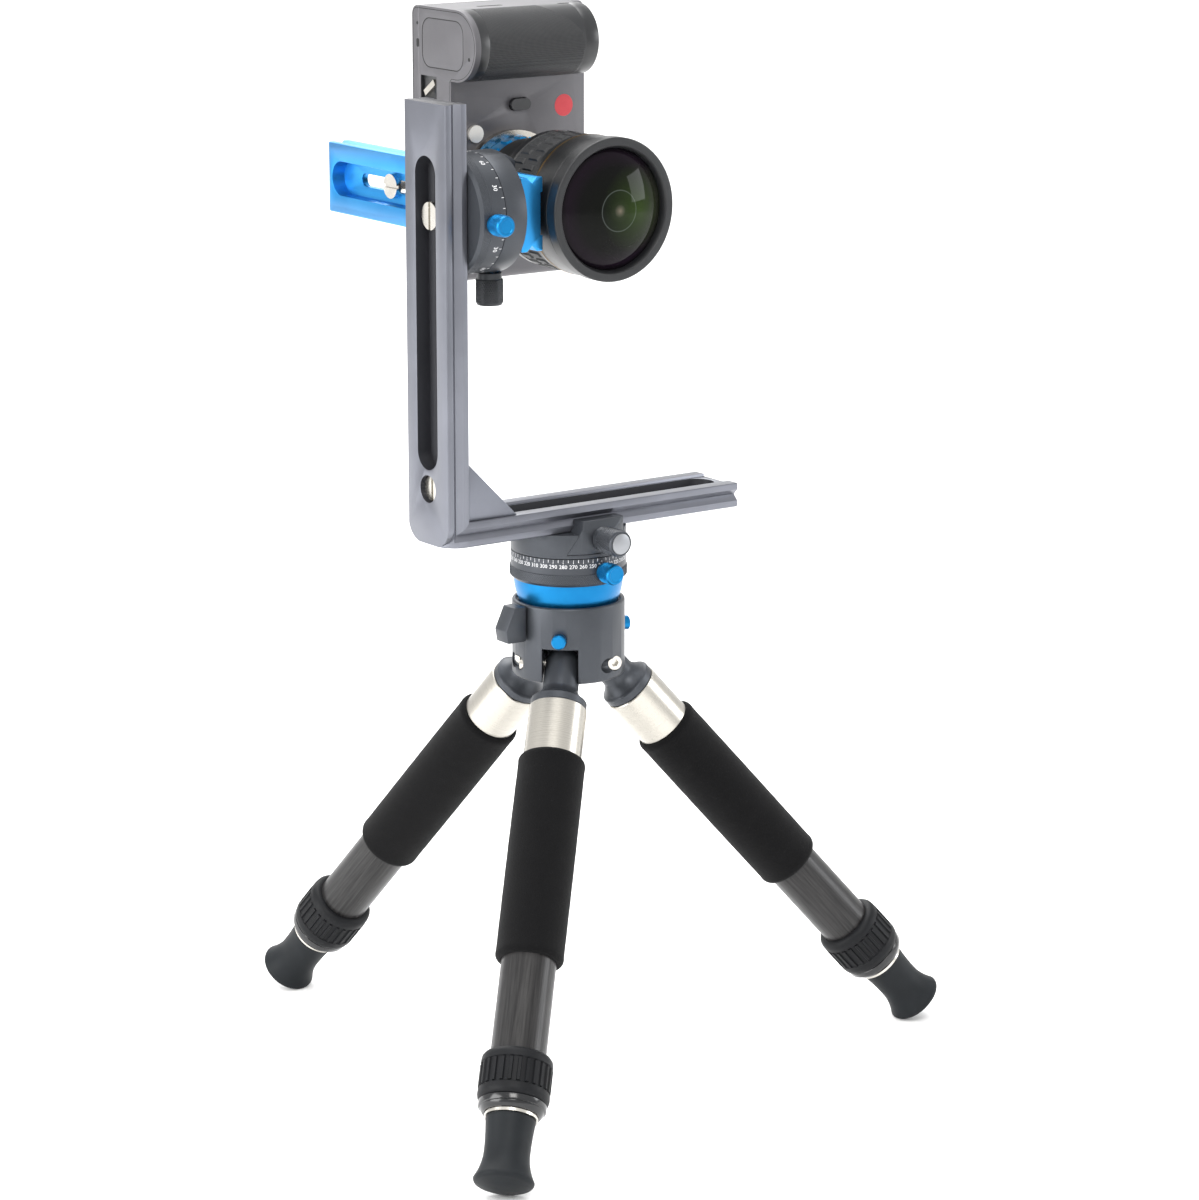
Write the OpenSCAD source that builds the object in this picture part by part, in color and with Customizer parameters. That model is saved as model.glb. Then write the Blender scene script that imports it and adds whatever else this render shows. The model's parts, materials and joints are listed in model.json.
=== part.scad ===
// Camera in upright position on an L bracket with a tilting rotator,
// a levelling panorama base and a short three-legged table tripod.
// Origin on the floor under the panning axis, +X along the bracket, -Y the way the lens points.

/* [Legs] */
// Angle of each leg from the vertical
leg_spread = 41.2; // [36:0.1:48]
// Direction of the first leg, seen from above
leg_azimuth = -134; // [-180:1:180]
// Distance of the leg hinges inside the hub's surface
hinge_inset = 12.5; // [12:0.1:14]
// Radius of the leg head's round end
knuckle_r = 9.4; // [7.5:0.1:9.6]
// Hinge to the head's flange
head_len = 22.5; // [20:0.5:40]
// Radius of the head's flange
flange_r = 14.8; // [13:0.1:16]
// Thickness of the head's flange
flange_len = 4.5; // [2:0.1:8]
// Radius of the silver sleeve
sleeve_r = 15.3; // [14.6:0.1:17]
// Visible length of the silver sleeve
sleeve_len = 29; // [15:0.5:60]
// Radius of the foam grip
grip_r = 17.7; // [15:0.1:22]
// Length of the foam grip
grip_len = 115; // [60:1:200]
// Radius of the outer leg tube
tube_r = 14.2; // [12:0.1:15]
// Wall of both leg tubes
tube_wall = 1.6; // [1:0.1:2.5]
// Bare tube between the grip and the twist lock
bare_len = 51.5; // [10:0.5:200]
// Radius of the twist lock's rubber cover
lock_r = 18.5; // [16.5:0.1:23]
// Length of the twist lock's rubber cover
lock_len = 25; // [18:0.5:40]
// Radius of the twist lock's nut
lock_nut_r = 17.3; // [15.5:0.1:20]
// Visible length of the twist lock's nut
lock_nut_len = 6.5; // [3:0.1:12]
// How far the inner tube draws out
leg_travel = 110; // [40:1:120]

/* [Feet] */
// Length of the rubber foot from its collar to the middle of its rounded edge
foot_len = 32.5; // [20:0.5:60]
// Radius of the foot at its top
foot_top_r = 12.9; // [12.5:0.1:16]
// Smallest radius of the foot
foot_neck_r = 11.7; // [9:0.1:13]
// Largest radius of the foot
foot_flare_r = 15.5; // [13.5:0.1:22]
// Rounding of the foot's edge
foot_edge_r = 2.5; // [1:0.1:4]

/* [Hub] */
// Radius of the hub
hub_r = 30; // [28:0.5:40]
// Height of the hub
hub_h = 41.3; // [40:0.1:55]
// Hinge height above the hub's lower edge
hub_skirt = 8.5; // [7:0.1:9]
// Height of the leg slots above the hub's lower edge
slot_h = 19; // [18:0.1:20]
// Wall of the hub's rim
rim_w = 3; // [2:0.1:4]
// Height of the ball's centre above the rim
ball_rise = 11.5; // [9:0.1:13]
// Radius of the hinge pins
pin_r = 3; // [2:0.1:3.5]
// Radius of the stop buttons
button_r = 3.8; // [2.5:0.1:4]
// How far the stop buttons stand out
button_out = 4.3; // [4:0.1:8]

/* [Panorama base and clamps] */
// Radius of the panning base and its clamp
pan_r = 30.6; // [28:0.1:36]
// Radius of the tilting rotator and its clamp
tilt_r = 31.3; // [28:0.1:36]
// Height of a rotator's base
base_h = 15; // [12:0.1:24]
// Height of a rotator's clamp
clamp_h = 12.5; // [10:0.1:20]
// Radius of a rotator's shaft
shaft_r = 7; // [4:0.1:9]
// Length of the jaws of the panning clamp
pan_jaw_len = 36; // [16:1:40]
// Length of the jaws of the tilting clamp
tilt_jaw_len = 22; // [16:1:40]
// Radius of a jaw knob
jaw_knob_r = 7.3; // [5:0.1:8]
// Length of a jaw knob
jaw_knob_len = 17; // [12:0.5:24]
// Radius of a rotator's lock knob
lock_knob_r = 5.8; // [4:0.1:6]
// Length of a rotator's lock knob
lock_knob_len = 11; // [8:0.5:18]

/* [Rails] */
// Width of every rail
rail_w = 38; // [36:0.1:42]
// Thickness of every rail
rail_t = 13.1; // [11:0.1:16]
// Outer corner of the bracket to the panning axis
corner_x = 88; // [80:0.5:110]
// Free end of the horizontal rail to the panning axis
free_x = 97.7; // [60:0.5:140]
// Height of the vertical rail above the horizontal rail's top
vertical_h = 215; // [190:0.5:260]
// Depth of the grooves in the rails' narrow sides
groove_d = 3; // [2:0.1:4]
// Height of the lip beside each groove
lip_t = 3.5; // [2.5:0.1:4]
// Width of the wide part of the long slots
slot_wide = 18.6; // [16:0.1:22]
// Width of the narrow part of the long slots
slot_narrow = 7; // [6.8:0.1:9]
// Length of the corner block's short sides
gusset_len = 31; // [24:0.5:45]
// Length of the camera rail
camera_rail_len = 185; // [160:0.5:260]
// Camera rail's front end to the panning axis
camera_rail_front = 25.7; // [20:0.1:32]

/* [Camera] */
// Tilting axis above the horizontal rail's top
tilt_h = 157.1; // [145:0.1:200]
// Base of the camera to its lens axis
lens_off = 37.3; // [37:0.1:45]
// Height of the camera from its base to its top plate
cam_h = 85.2; // [75:0.1:100]
// Thickness of the camera's body
cam_t = 37; // [32:0.1:50]
// Length of the camera's body
cam_l = 144; // [130:0.5:170]
// Lens axis to the camera's plain end
cam_below = 47; // [42:0.1:52]
// Front plate of the camera to the tilting axis
cam_front = 58.5; // [52:0.1:75]
// Wall of the camera's shells
cam_wall = 2.2; // [1.6:0.1:3]
// Radius of the hand grip
hand_r = 18.75; // [16.5:0.05:20]
// How far the hand grip stands out in front
hand_out = 24; // [19:0.1:30]
// Length of the hand grip
hand_len = 78; // [60:0.5:80]
// Battery length, thickness and depth
battery_size = [62, 38.5, 25.5];

/* [Lens] */
// Front of the lens to the tilting axis
lens_front = 36.6; // [30:0.1:60]
// Radius of the lens's front ring
lens_r = 37.3; // [32:0.1:37.5]
// Radius of the front glass
glass_r = 31.4; // [24:0.1:33]
// Radius of the focus ring
focus_r = 36; // [35:0.1:36.5]
// Radius of the barrel under the focus ring
core_r = 33; // [31:0.1:34]
// Length of the focus ring
focus_len = 21; // [12:0.5:24]
// Radius of the lens mount
mount_r = 32; // [28:0.1:33]
// Length of the adapter
adapter_len = 24; // [15:0.5:28]
// Radius of the adapter
adapter_r = 29.2; // [26:0.1:31]

/* [Hidden] */
$fn = 96;

// Clearances
run_gap = 0.08;      // shaft in a bore
face_gap = 0.2;      // flat faces that slide
seam_gap = 0.4;      // visible seam between a rotator's halves
eps = 0.01;

// Leg stations, measured from the hinge along the leg
sleeve_at = head_len + flange_len;
grip_at = sleeve_at + sleeve_len;
grip_end = grip_at + grip_len;
lock_at = grip_end + bare_len;
tube_end = lock_at + lock_len * 0.6;
nut_at = lock_at + lock_len;
collar_at = nut_at + lock_nut_len + face_gap;
collar_len = 1.6;
collar_r = 13.7;
foot_at = collar_at + collar_len;
foot_edge_at = foot_at + foot_len;
inner_r = tube_r - tube_wall - run_gap;
inner_overlap = 65;
inner_at = tube_end - inner_overlap - leg_travel;
sole_rise = 6.5;
plug_len = 18;
plug_r = inner_r - tube_wall - run_gap;

// Heights
foot_drop = (foot_flare_r - foot_edge_r) * sin(leg_spread) + foot_edge_r;
hinge_z = foot_edge_at * cos(leg_spread) + foot_drop;
hinge_r = hub_r - hinge_inset;
hub_z = hinge_z - hub_skirt;
ball_z = hub_z + hub_h + ball_rise;
ball_gap = 0.3;
seat_r = sqrt(pow(hub_r - rim_w, 2) + pow(ball_rise, 2));
ball_r = seat_r - ball_gap;
cup_t = 2.4;
cup_r = 11;
cup_room_r = 17.5;
pan_clamp_z = ball_z + base_h + seam_gap;
pan_rail_z = pan_clamp_z + clamp_h + face_gap;
rail_z = pan_rail_z + rail_t;
tilt_z = rail_z + tilt_h;

// Hub details
slot_w = 2 * knuckle_r + 0.7;
slot_inner_r = 7.5;
pin_half = sqrt(pow(hub_r, 2) - pow(hinge_r, 2)) - 1.4;
pin_head_r = pin_r + 0.8;
pin_head_len = 3;
button_z = hub_z + slot_h + button_r + 1.2;
button_tip = hub_r + button_out;
button_len = 13;
tripod_hole_r = 4;
tripod_hole_len = 12;
lever_z = hub_z + 0.76 * hub_h;
lever_in = 6;

// Clamp details
jaw_screw_r = 2;
knob_axis_h = clamp_h - jaw_screw_r - 0.4;
screw_r = 2.5;
jaw_y = rail_w / 2 + face_gap;
jaw_lip = groove_d - 1;
knurl_h = 5;

// Bracket details
inner_x = rail_t - corner_x;
tilt_base_x = inner_x + face_gap;
tilt_clamp_x = tilt_base_x + base_h + seam_gap;
camera_rail_x = tilt_clamp_x + clamp_h + face_gap;
cam_base_x = camera_rail_x + rail_t;
cam_top_x = cam_base_x + cam_h;
lens_x = cam_base_x + lens_off;
ridge_w = 8;
ridge_t = 1.3;
recess_d = 8;
top_recess_d = 9;
lip_corner_r = 12;
slot_from = 26 + slot_wide / 2;
slot_to = 188 - slot_wide / 2;
h_slot_from = -35;
h_slot_to = free_x - 13;
slot_head_r = 7.2;
slot_head_h = 5.4;
slot_shank_r = slot_narrow / 2 - 0.3;
corner_head_r = 6.8;
corner_head_h = 2.4;
corner_hole_r = 7.2;
corner_depth = 5;
corner_at = 16;
rail_screw_y = [84, 106];
rail_head_r = 6.6;

// Camera details
cam_back = cam_front + cam_t;
cam_z0 = tilt_z - cam_below;
cam_z1 = cam_z0 + cam_l;
cam_split = cam_back - 7;
hand_y = cam_front - hand_out + hand_r;
hand_z = cam_z1 - hand_r;
hand_end_x = cam_base_x + hand_len;
cover_t = 0.8;
cover_from = cam_base_x + 9;
cover_to = hand_end_x - 8;
battery_y = hand_y + battery_size[1] / 2 - 6.5;
battery_r = 7;
base_wall = 3.4;
lever_y = cam_front + 21;
lever_w = 15;
lever_h = 12.4;
lever_cz = hand_z - hand_r - 5;
release_r = 4.6;
release_pos = [lens_x - 22.7, tilt_z + 31.2];
fn_pos = [lens_x + 5.9, tilt_z + 45];
fn_len = 12.6;
fn_h = 6.2;
shutter_pos = [hand_y - 2, hand_z];
shutter_r = 5.5;
dial_pos = [cam_back - 17, hand_z - 4];
dial_r = 9;
dial_h = 5;
screen_size = [54, 78];
sensor_size = [24, 36];
finder_w = 46;
finder_h = 14;

// Lens stations, measured forward from the tilting axis
mount_at = -cam_front;
adapter_at = mount_at + 4;
barrel_at = adapter_at + adapter_len;
focus_at = barrel_at + 16;
focus_end = focus_at + focus_len;
front_at = focus_end + 1.5;

// Points of an arc in a plane
function arc(cx, cy, r, a0, a1, n = 8) =
    [for (i = [0:n]) [cx + r * cos(a0 + (a1 - a0) * i / n), cy + r * sin(a0 + (a1 - a0) * i / n)]];

// Frame of leg number i: +Z runs down the leg from its hinge
module at_leg(i) {
    rotate([0, 0, leg_azimuth + 120 * i])
        translate([hinge_r, 0, hinge_z])
            rotate([0, 180 - leg_spread, 0])
                children();
}

// Frame of leg number i's slot, with +X outwards
module at_slot(i, z = 0) {
    rotate([0, 0, leg_azimuth + 120 * i])
        translate([0, 0, z])
            children();
}

module ring(r_out, r_in, h) {
    difference() {
        cylinder(r = r_out, h = h);
        translate([0, 0, -1])
            cylinder(r = r_in, h = h + 2);
    }
}

// Long slot with round ends along X
module obround(width, from_x, to_x, h) {
    for (x = [from_x, to_x])
        translate([x, 0, 0])
            cylinder(r = width / 2, h = h);
    translate([from_x, -width / 2, 0])
        cube([to_x - from_x, width, h]);
}

// ---- hub ----

module hub_blank() {
    fillet = 2;
    rim = rim_w / 2 - 0.1;
    rotate_extrude()
        polygon(concat([[0, 0]],
                       arc(hub_r - fillet, fillet, fillet, -90, 0, 4),
                       arc(hub_r - rim, hub_h - rim, rim, 0, 180, 8),
                       [[0, hub_h - rim]]));
}

module hub_housing() {
    color("dimgray")
        difference() {
            translate([0, 0, hub_z])
                hub_blank();
            translate([0, 0, ball_z])
                sphere(r = seat_r);
            intersection() {
                translate([0, 0, ball_z])
                    sphere(r = seat_r + cup_t + ball_gap);
                translate([0, 0, hub_z])
                    cylinder(r = cup_room_r, h = hub_h);
            }
            translate([0, 0, hub_z - 1])
                cylinder(r = tripod_hole_r, h = tripod_hole_len + 1);
            for (i = [0:2]) {
                at_slot(i, hub_z - 1)
                    translate([slot_inner_r, -slot_w / 2, 0])
                        cube([hub_r, slot_w, slot_h + 1]);
                at_slot(i, hinge_z)
                    translate([hinge_r, 0, 0])
                        rotate([90, 0, 0])
                            cylinder(r = pin_r, h = 4 * hub_r, center = true);
                at_slot(i, hinge_z)
                    for (side = [-1, 1])
                        translate([hinge_r, side * (pin_half - pin_head_len), 0])
                            rotate([-90 * side, 0, 0])
                                cylinder(r = pin_head_r + 0.3, h = hub_r);
                at_slot(i, button_z)
                    translate([button_tip - button_len - 3.6, 0, 0])
                        rotate([0, 90, 0])
                            cylinder(r = button_r + run_gap, h = hub_r);
            }
            translate([-hub_r - 1, 0, lever_z])
                rotate([0, 90, 0])
                    cylinder(r = pin_r + run_gap, h = lever_in + 1);
        }
}

module hinge_pins() {
    color("silver")
        for (i = [0:2])
            at_slot(i, hinge_z)
                translate([hinge_r, -pin_half, 0])
                    rotate([-90, 0, 0])
                        difference() {
                            union() {
                                cylinder(r = pin_head_r, h = pin_head_len);
                                cylinder(r = pin_r, h = 2 * pin_half - pin_head_len);
                            }
                            translate([0, 0, -1])
                                cylinder(r = pin_r * 0.7, h = 3, $fn = 6);
                        }
}

module stop_button(i) {
    color("dodgerblue")
        at_slot(i, button_z)
            translate([button_tip - button_len, 0, 0])
                rotate([0, 90, 0]) {
                    cylinder(r = button_r, h = button_len - 0.6);
                    translate([0, 0, button_len - 0.6])
                        cylinder(r1 = button_r, r2 = button_r - 0.6, h = 0.6);
                }
}

module stop_button_a() { stop_button(0); }
module stop_button_b() { stop_button(1); }
module stop_button_c() { stop_button(2); }

module brake_lever() {
    wing = 11;
    reach = 12.5;
    half_h = 9.4;
    inner_x0 = hub_r + 1;
    color("dimgray")
        translate([0, 0, lever_z]) {
            rotate([0, -90, 0])
                translate([0, 0, hub_r - lever_in + 1])
                    cylinder(r = pin_r, h = lever_in + 3);
            rotate([90, 0, 0])
                linear_extrude(wing, center = true)
                    polygon([[-inner_x0, half_h], [-inner_x0 - reach + 5.5, half_h],
                             [-inner_x0 - reach, -2.5], [-inner_x0 - reach + 1.2, -half_h],
                             [-inner_x0, -half_h]]);
        }
}

module brake_cup() {
    color("gray")
        translate([0, 0, ball_z])
            intersection() {
                difference() {
                    sphere(r = seat_r + cup_t);
                    sphere(r = seat_r);
                }
                translate([0, 0, -2 * seat_r])
                    cylinder(r = cup_r, h = 2 * seat_r);
            }
}

// ---- legs ----

module leg_head(i) {
    color("dimgray")
        at_leg(i) {
            difference() {
                union() {
                    sphere(r = knuckle_r);
                    cylinder(r = knuckle_r, h = head_len - 5.5);
                    translate([0, 0, head_len - 5.5])
                        cylinder(r1 = knuckle_r, r2 = flange_r - 0.8, h = 5.5);
                    translate([0, 0, head_len])
                        cylinder(r = flange_r, h = flange_len);
                    translate([0, 0, sleeve_at - eps])
                        cylinder(r = tube_r - tube_wall - run_gap, h = plug_len);
                }
                rotate([90, 0, 0])
                    cylinder(r = pin_r + run_gap, h = 2 * knuckle_r + 2, center = true);
            }
            translate([0, 0, sleeve_at])
                ring(sleeve_r, tube_r, sleeve_len);
        }
}

module leg_head_a() { leg_head(0); }
module leg_head_b() { leg_head(1); }
module leg_head_c() { leg_head(2); }

module foam_grip(i) {
    soft = 3;
    color("black")
        at_leg(i)
            translate([0, 0, grip_at])
                rotate_extrude()
                    polygon(concat([[tube_r, 0]],
                                   arc(grip_r - soft, soft, soft, -90, 0, 4),
                                   arc(grip_r - soft, grip_len - soft, soft, 0, 90, 4),
                                   [[tube_r, grip_len]]));
}

module foam_grip_a() { foam_grip(0); }
module foam_grip_b() { foam_grip(1); }
module foam_grip_c() { foam_grip(2); }

module leg_tube(i) {
    color("darkslategray")
        at_leg(i)
            translate([0, 0, sleeve_at])
                ring(tube_r, tube_r - tube_wall, tube_end - sleeve_at);
}

module leg_tube_a() { leg_tube(0); }
module leg_tube_b() { leg_tube(1); }
module leg_tube_c() { leg_tube(2); }

// Rubber cover and nut, turned as one piece, over the end of the outer tube
module twist_lock(i) {
    soft = 4;
    total = lock_len + lock_nut_len;
    step = tube_end - lock_at + 0.5;
    color("black")
        at_leg(i)
            translate([0, 0, lock_at])
                rotate_extrude()
                    polygon(concat([[tube_r + run_gap, 0]],
                                   arc(lock_r - soft, soft, soft, -60, 0, 5),
                                   [[lock_r, lock_len - 1], [lock_r - 1, lock_len],
                                    [lock_nut_r, lock_len], [lock_nut_r, total - 3.5],
                                    [lock_nut_r - 2, total], [inner_r + run_gap, total],
                                    [inner_r + run_gap, step], [tube_r + run_gap, step]]));
}

module twist_lock_a() { twist_lock(0); }
module twist_lock_b() { twist_lock(1); }
module twist_lock_c() { twist_lock(2); }

module inner_tube(i) {
    color("silver")
        at_leg(i) {
            translate([0, 0, inner_at])
                ring(inner_r, inner_r - tube_wall, foot_at - inner_at);
            translate([0, 0, collar_at])
                ring(collar_r, inner_r - eps, collar_len);
        }
}

module inner_tube_a() { inner_tube(0); }
module inner_tube_b() { inner_tube(1); }
module inner_tube_c() { inner_tube(2); }

// Waisted outline of the foot: t runs from 0 at the collar to 1 at the widest point
waist_t = 0.55;
function foot_outline(t) = t < waist_t
    ? foot_neck_r + (foot_top_r - foot_neck_r) * pow(1 - t / waist_t, 2)
    : foot_neck_r + (foot_flare_r - foot_neck_r) * pow((t - waist_t) / (1 - waist_t), 2);

module foot(i) {
    steps = 12;
    edge_r = foot_flare_r - foot_edge_r;
    color("black")
        at_leg(i)
            translate([0, 0, foot_at])
                rotate_extrude()
                    polygon(concat([[0, -plug_len], [plug_r, -plug_len], [plug_r, 0]],
                                   [for (n = [0:steps - 1])
                                       [foot_outline(n / steps), foot_len * n / steps]],
                                   arc(edge_r, foot_len, foot_edge_r, 0, 70, 5),
                                   [[0, foot_len + sole_rise]]));
}

module foot_a() { foot(0); }
module foot_b() { foot(1); }
module foot_c() { foot(2); }

// ---- levelling ball and rotators ----

module level_ball() {
    flat = 24;
    color("steelblue")
        translate([0, 0, ball_z])
            intersection() {
                sphere(r = ball_r);
                translate([0, 0, -flat])
                    cylinder(r = ball_r + 1, h = flat);
            }
}

// Base of a rotator, standing on z = 0, with its shaft
module rotator_base(r) {
    bevel = 1.2;
    rotate_extrude()
        polygon([[0, 0], [r - bevel, 0], [r + 0.3, bevel + 0.3], [r + 0.3, bevel + 0.3 + knurl_h],
                 [r, bevel + 0.6 + knurl_h], [r, base_h], [shaft_r, base_h],
                 [shaft_r, base_h + clamp_h - 4], [0, base_h + clamp_h - 4]]);
}

// Bore for a lock knob's screw in a rotator's base, along -Y
module lock_bore(r, offset) {
    translate([offset, -r / 2, base_h / 2])
        rotate([90, 0, 0])
            cylinder(r = screw_r + run_gap, h = r);
}

module lock_knob(r, offset) {
    translate([offset, -r - 0.5, base_h / 2])
        rotate([90, 0, 0]) {
            cylinder(r = lock_knob_r, h = lock_knob_len - 0.8);
            translate([0, 0, lock_knob_len - 0.8])
                cylinder(r1 = lock_knob_r, r2 = lock_knob_r - 0.8, h = 0.8);
            translate([0, 0, 1 - r / 2])
                cylinder(r = screw_r, h = r / 2);
        }
}

// Side outline of a jaw: its hook reaches over the rail's lip into the groove
module jaw_outline(foot_h) {
    hook_h = clamp_h + face_gap + lip_t + face_gap + jaw_lip;
    polygon([[jaw_y - 1.5, foot_h], [jaw_y - 1.5, clamp_h], [jaw_y, clamp_h],
             [jaw_y, hook_h - jaw_lip], [jaw_y - jaw_lip, hook_h], [jaw_y - jaw_lip, hook_h + 0.6],
             [jaw_y + 7, hook_h + 0.6], [jaw_y + 11, clamp_h], [jaw_y + 11, foot_h]]);
}

// Room of a jaw from y = -y0 to y = -y1, with a slanted left end
module jaw_span(half, y0, y1, z0, z1) {
    lean = 0.55;
    translate([0, -y1, 0])
        rotate([90, 0, 0])
            linear_extrude(y0 - y1)
                polygon([[-half, z0], [half, z0], [half, z1], [-half + lean * (z1 - z0), z1]]);
}

// Clamp of a rotator, standing on z = 0: the rail runs along X and the loose jaw is at -Y
module clamp_body(r, jaw_len) {
    difference() {
        union() {
            cylinder(r = r, h = clamp_h);
            intersection() {
                translate([-jaw_len / 2, 0, 0])
                    rotate([90, 0, 90])
                        linear_extrude(jaw_len)
                            jaw_outline(1);
                cylinder(r = r, h = 2 * clamp_h);
            }
        }
        jaw_span(jaw_len / 2 + face_gap, r + 1, jaw_y - 1.5 - face_gap, 2, 2 * clamp_h);
        translate([0, 0, -1])
            cylinder(r = shaft_r + run_gap, h = clamp_h - 2.5);
        translate([0, -shaft_r - 3, knob_axis_h])
            rotate([90, 0, 0])
                cylinder(r = jaw_screw_r + run_gap, h = r);
    }
}

module clamp_jaw(r, jaw_len) {
    difference() {
        intersection() {
            translate([-jaw_len / 2, 0, 0])
                rotate([90, 0, 90])
                    linear_extrude(jaw_len)
                        mirror([1, 0])
                            jaw_outline(2 + face_gap);
            cylinder(r = r, h = 2 * clamp_h);
            jaw_span(jaw_len / 2, 2 * r, 1, 2, 2 * clamp_h);
        }
        translate([0, 0, knob_axis_h])
            rotate([90, 0, 0])
                cylinder(r = jaw_screw_r + run_gap, h = 2 * r);
    }
}

module jaw_knob(r) {
    translate([0, -r - 0.5, knob_axis_h])
        rotate([90, 0, 0]) {
            cylinder(r = jaw_knob_r - 1, h = 4);
            translate([0, 0, 4])
                cylinder(r = jaw_knob_r, h = jaw_knob_len - 5);
            translate([0, 0, jaw_knob_len - 1])
                cylinder(r1 = jaw_knob_r, r2 = jaw_knob_r - 1, h = 1);
            translate([0, 0, 4 + shaft_r - r])
                cylinder(r = jaw_screw_r, h = r - shaft_r);
        }
}

module at_pan_base() { translate([0, 0, ball_z]) children(); }
module at_pan_clamp() { translate([0, 0, pan_clamp_z]) children(); }

// Tilting rotator's frame: local Z along +X, local Y along +Z, local X along +Y
module at_tilt(x) {
    translate([x, 0, tilt_z])
        rotate([90, 0, 90])
            children();
}

module pan_base() {
    color("dimgray")
        at_pan_base()
            difference() {
                rotator_base(pan_r);
                lock_bore(pan_r, 1);
            }
}

module pan_lock_knob() {
    color("dodgerblue")
        at_pan_base()
            lock_knob(pan_r, 1);
}

module pan_clamp() {
    color("dimgray")
        at_pan_clamp()
            clamp_body(pan_r, pan_jaw_len);
}

module pan_jaw() {
    color("gray")
        at_pan_clamp()
            clamp_jaw(pan_r, pan_jaw_len);
}

module pan_jaw_knob() {
    color("black")
        at_pan_clamp()
            jaw_knob(pan_r);
}

// ---- bracket ----

// Cross-section of a rail: grooves in both narrow sides, ridges on the top face
module rail_section() {
    w = rail_w / 2;
    mid = rail_t / 2;
    c = 0.5;
    function side(s) = [[s * (w - c), 0], [s * w, c], [s * w, lip_t], [s * (w - groove_d), mid],
                        [s * w, rail_t - lip_t], [s * w, rail_t - c], [s * (w - c), rail_t],
                        [s * (w - ridge_w), rail_t], [s * (w - ridge_w), rail_t - ridge_t]];
    left = side(-1);
    right = side(1);
    polygon(concat(right, [for (n = [len(left) - 1:-1:0]) left[n]]));
}

// Rail along X from 0, standing on z = 0 with its ridges up
module rail(l) {
    rotate([90, 0, 90])
        linear_extrude(l)
            rail_section();
}

// Rounds the plan corners of the outer lip at the end x = 0 of a rail
module lip_corners() {
    for (side = [-1, 1])
        difference() {
            translate([-1, side * (rail_w / 2 - lip_corner_r / 2) - lip_corner_r / 2 - 1, -1])
                cube([lip_corner_r + 1, lip_corner_r + 2, lip_t + 1]);
            translate([lip_corner_r, side * (rail_w / 2 - lip_corner_r), -2])
                cylinder(r = lip_corner_r, h = lip_t + 4);
            translate([lip_corner_r, -rail_w, -2])
                cube([rail_w, 2 * rail_w, lip_t + 4]);
            translate([-2, side * (rail_w / 2 - lip_corner_r) - (side > 0 ? lip_corner_r + 4 : 0), -2])
                cube([lip_corner_r + 3, lip_corner_r + 4, lip_t + 4]);
        }
}

// Long slot in a rail: wide from below, narrow right through
module rail_slot(from_x, to_x, wide_to, depth) {
    translate([0, 0, -1])
        obround(slot_narrow, from_x, to_x, rail_t + 2);
    translate([0, 0, -1])
        obround(slot_wide, from_x, wide_to, depth + 1);
}

module horizontal_rail() {
    l = corner_x + free_x;
    from_x = corner_x + h_slot_from;
    to_x = corner_x + h_slot_to;
    color("silver")
        translate([-corner_x, 0, rail_z - rail_t])
            difference() {
                rail(l);
                lip_corners();
                rotate([0, -45, 0])
                    translate([-1, -rail_w, 0])
                        cube([3 * rail_t, 2 * rail_w, 3 * rail_t]);
                translate([0, 0, -1])
                    obround(slot_narrow, from_x, to_x, rail_t + 2);
                translate([0, 0, rail_t - top_recess_d])
                    obround(slot_wide, from_x, to_x, rail_t);
                translate([rail_t + corner_at, 0, -1])
                    cylinder(r = corner_hole_r, h = corner_depth + 1);
                translate([rail_t + corner_at, 0, -1])
                    cylinder(r = pin_r, h = rail_t + 2);
            }
}

module vertical_rail() {
    l = vertical_h + rail_t;
    color("silver")
        translate([-corner_x, 0, rail_z + vertical_h])
            rotate([0, 90, 0])
                difference() {
                    rail(l);
                    translate([l, 0, 0])
                        mirror([1, 0, 0])
                            lip_corners();
                    translate([l, 0, 0])
                        rotate([0, 45, 0])
                            translate([1 - 3 * rail_t, -rail_w, 0])
                                cube([3 * rail_t, 2 * rail_w, 3 * rail_t]);
                    rail_slot(vertical_h - slot_to, vertical_h - slot_from, vertical_h - slot_from,
                              recess_d);
                    translate([vertical_h - corner_at, 0, -1])
                        cylinder(r = corner_hole_r, h = corner_depth + 1);
                    translate([vertical_h - corner_at, 0, -1])
                        cylinder(r = pin_r, h = rail_t + 2);
                }
}

// Triangular block in the corner of the bracket
module corner_block() {
    w = rail_w - 5;
    color("silver")
        difference() {
            translate([inner_x, 0, rail_z])
                rotate([90, 0, 0])
                    linear_extrude(w, center = true)
                        polygon([[0, 0], [gusset_len, 0], [0, gusset_len]]);
            translate([inner_x - 1, 0, rail_z + corner_at])
                rotate([0, 90, 0])
                    cylinder(r = pin_r, h = 11);
            translate([inner_x + corner_at, 0, rail_z - 1])
                cylinder(r = pin_r, h = 11);
        }
}

// Slotted screw with its head on z = 0 pointing down
module slotted_screw(head_r, head_h, shank_r, shank_l) {
    difference() {
        union() {
            translate([0, 0, -head_h])
                cylinder(r = head_r, h = head_h);
            cylinder(r = shank_r, h = shank_l);
        }
        translate([-head_r - 1, -0.9, -head_h - 1])
            cube([2 * head_r + 2, 1.8, 2.2]);
    }
}

module corner_screws() {
    reach = rail_t - corner_depth + 9;
    color("silver") {
        translate([-corner_x + corner_depth, 0, rail_z + corner_at])
            rotate([0, 90, 0])
                slotted_screw(corner_head_r, corner_head_h, pin_r, reach);
        translate([inner_x + corner_at, 0, rail_z - rail_t + corner_depth])
            slotted_screw(corner_head_r, corner_head_h, pin_r, reach);
    }
}

// ---- tilting rotator ----

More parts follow.
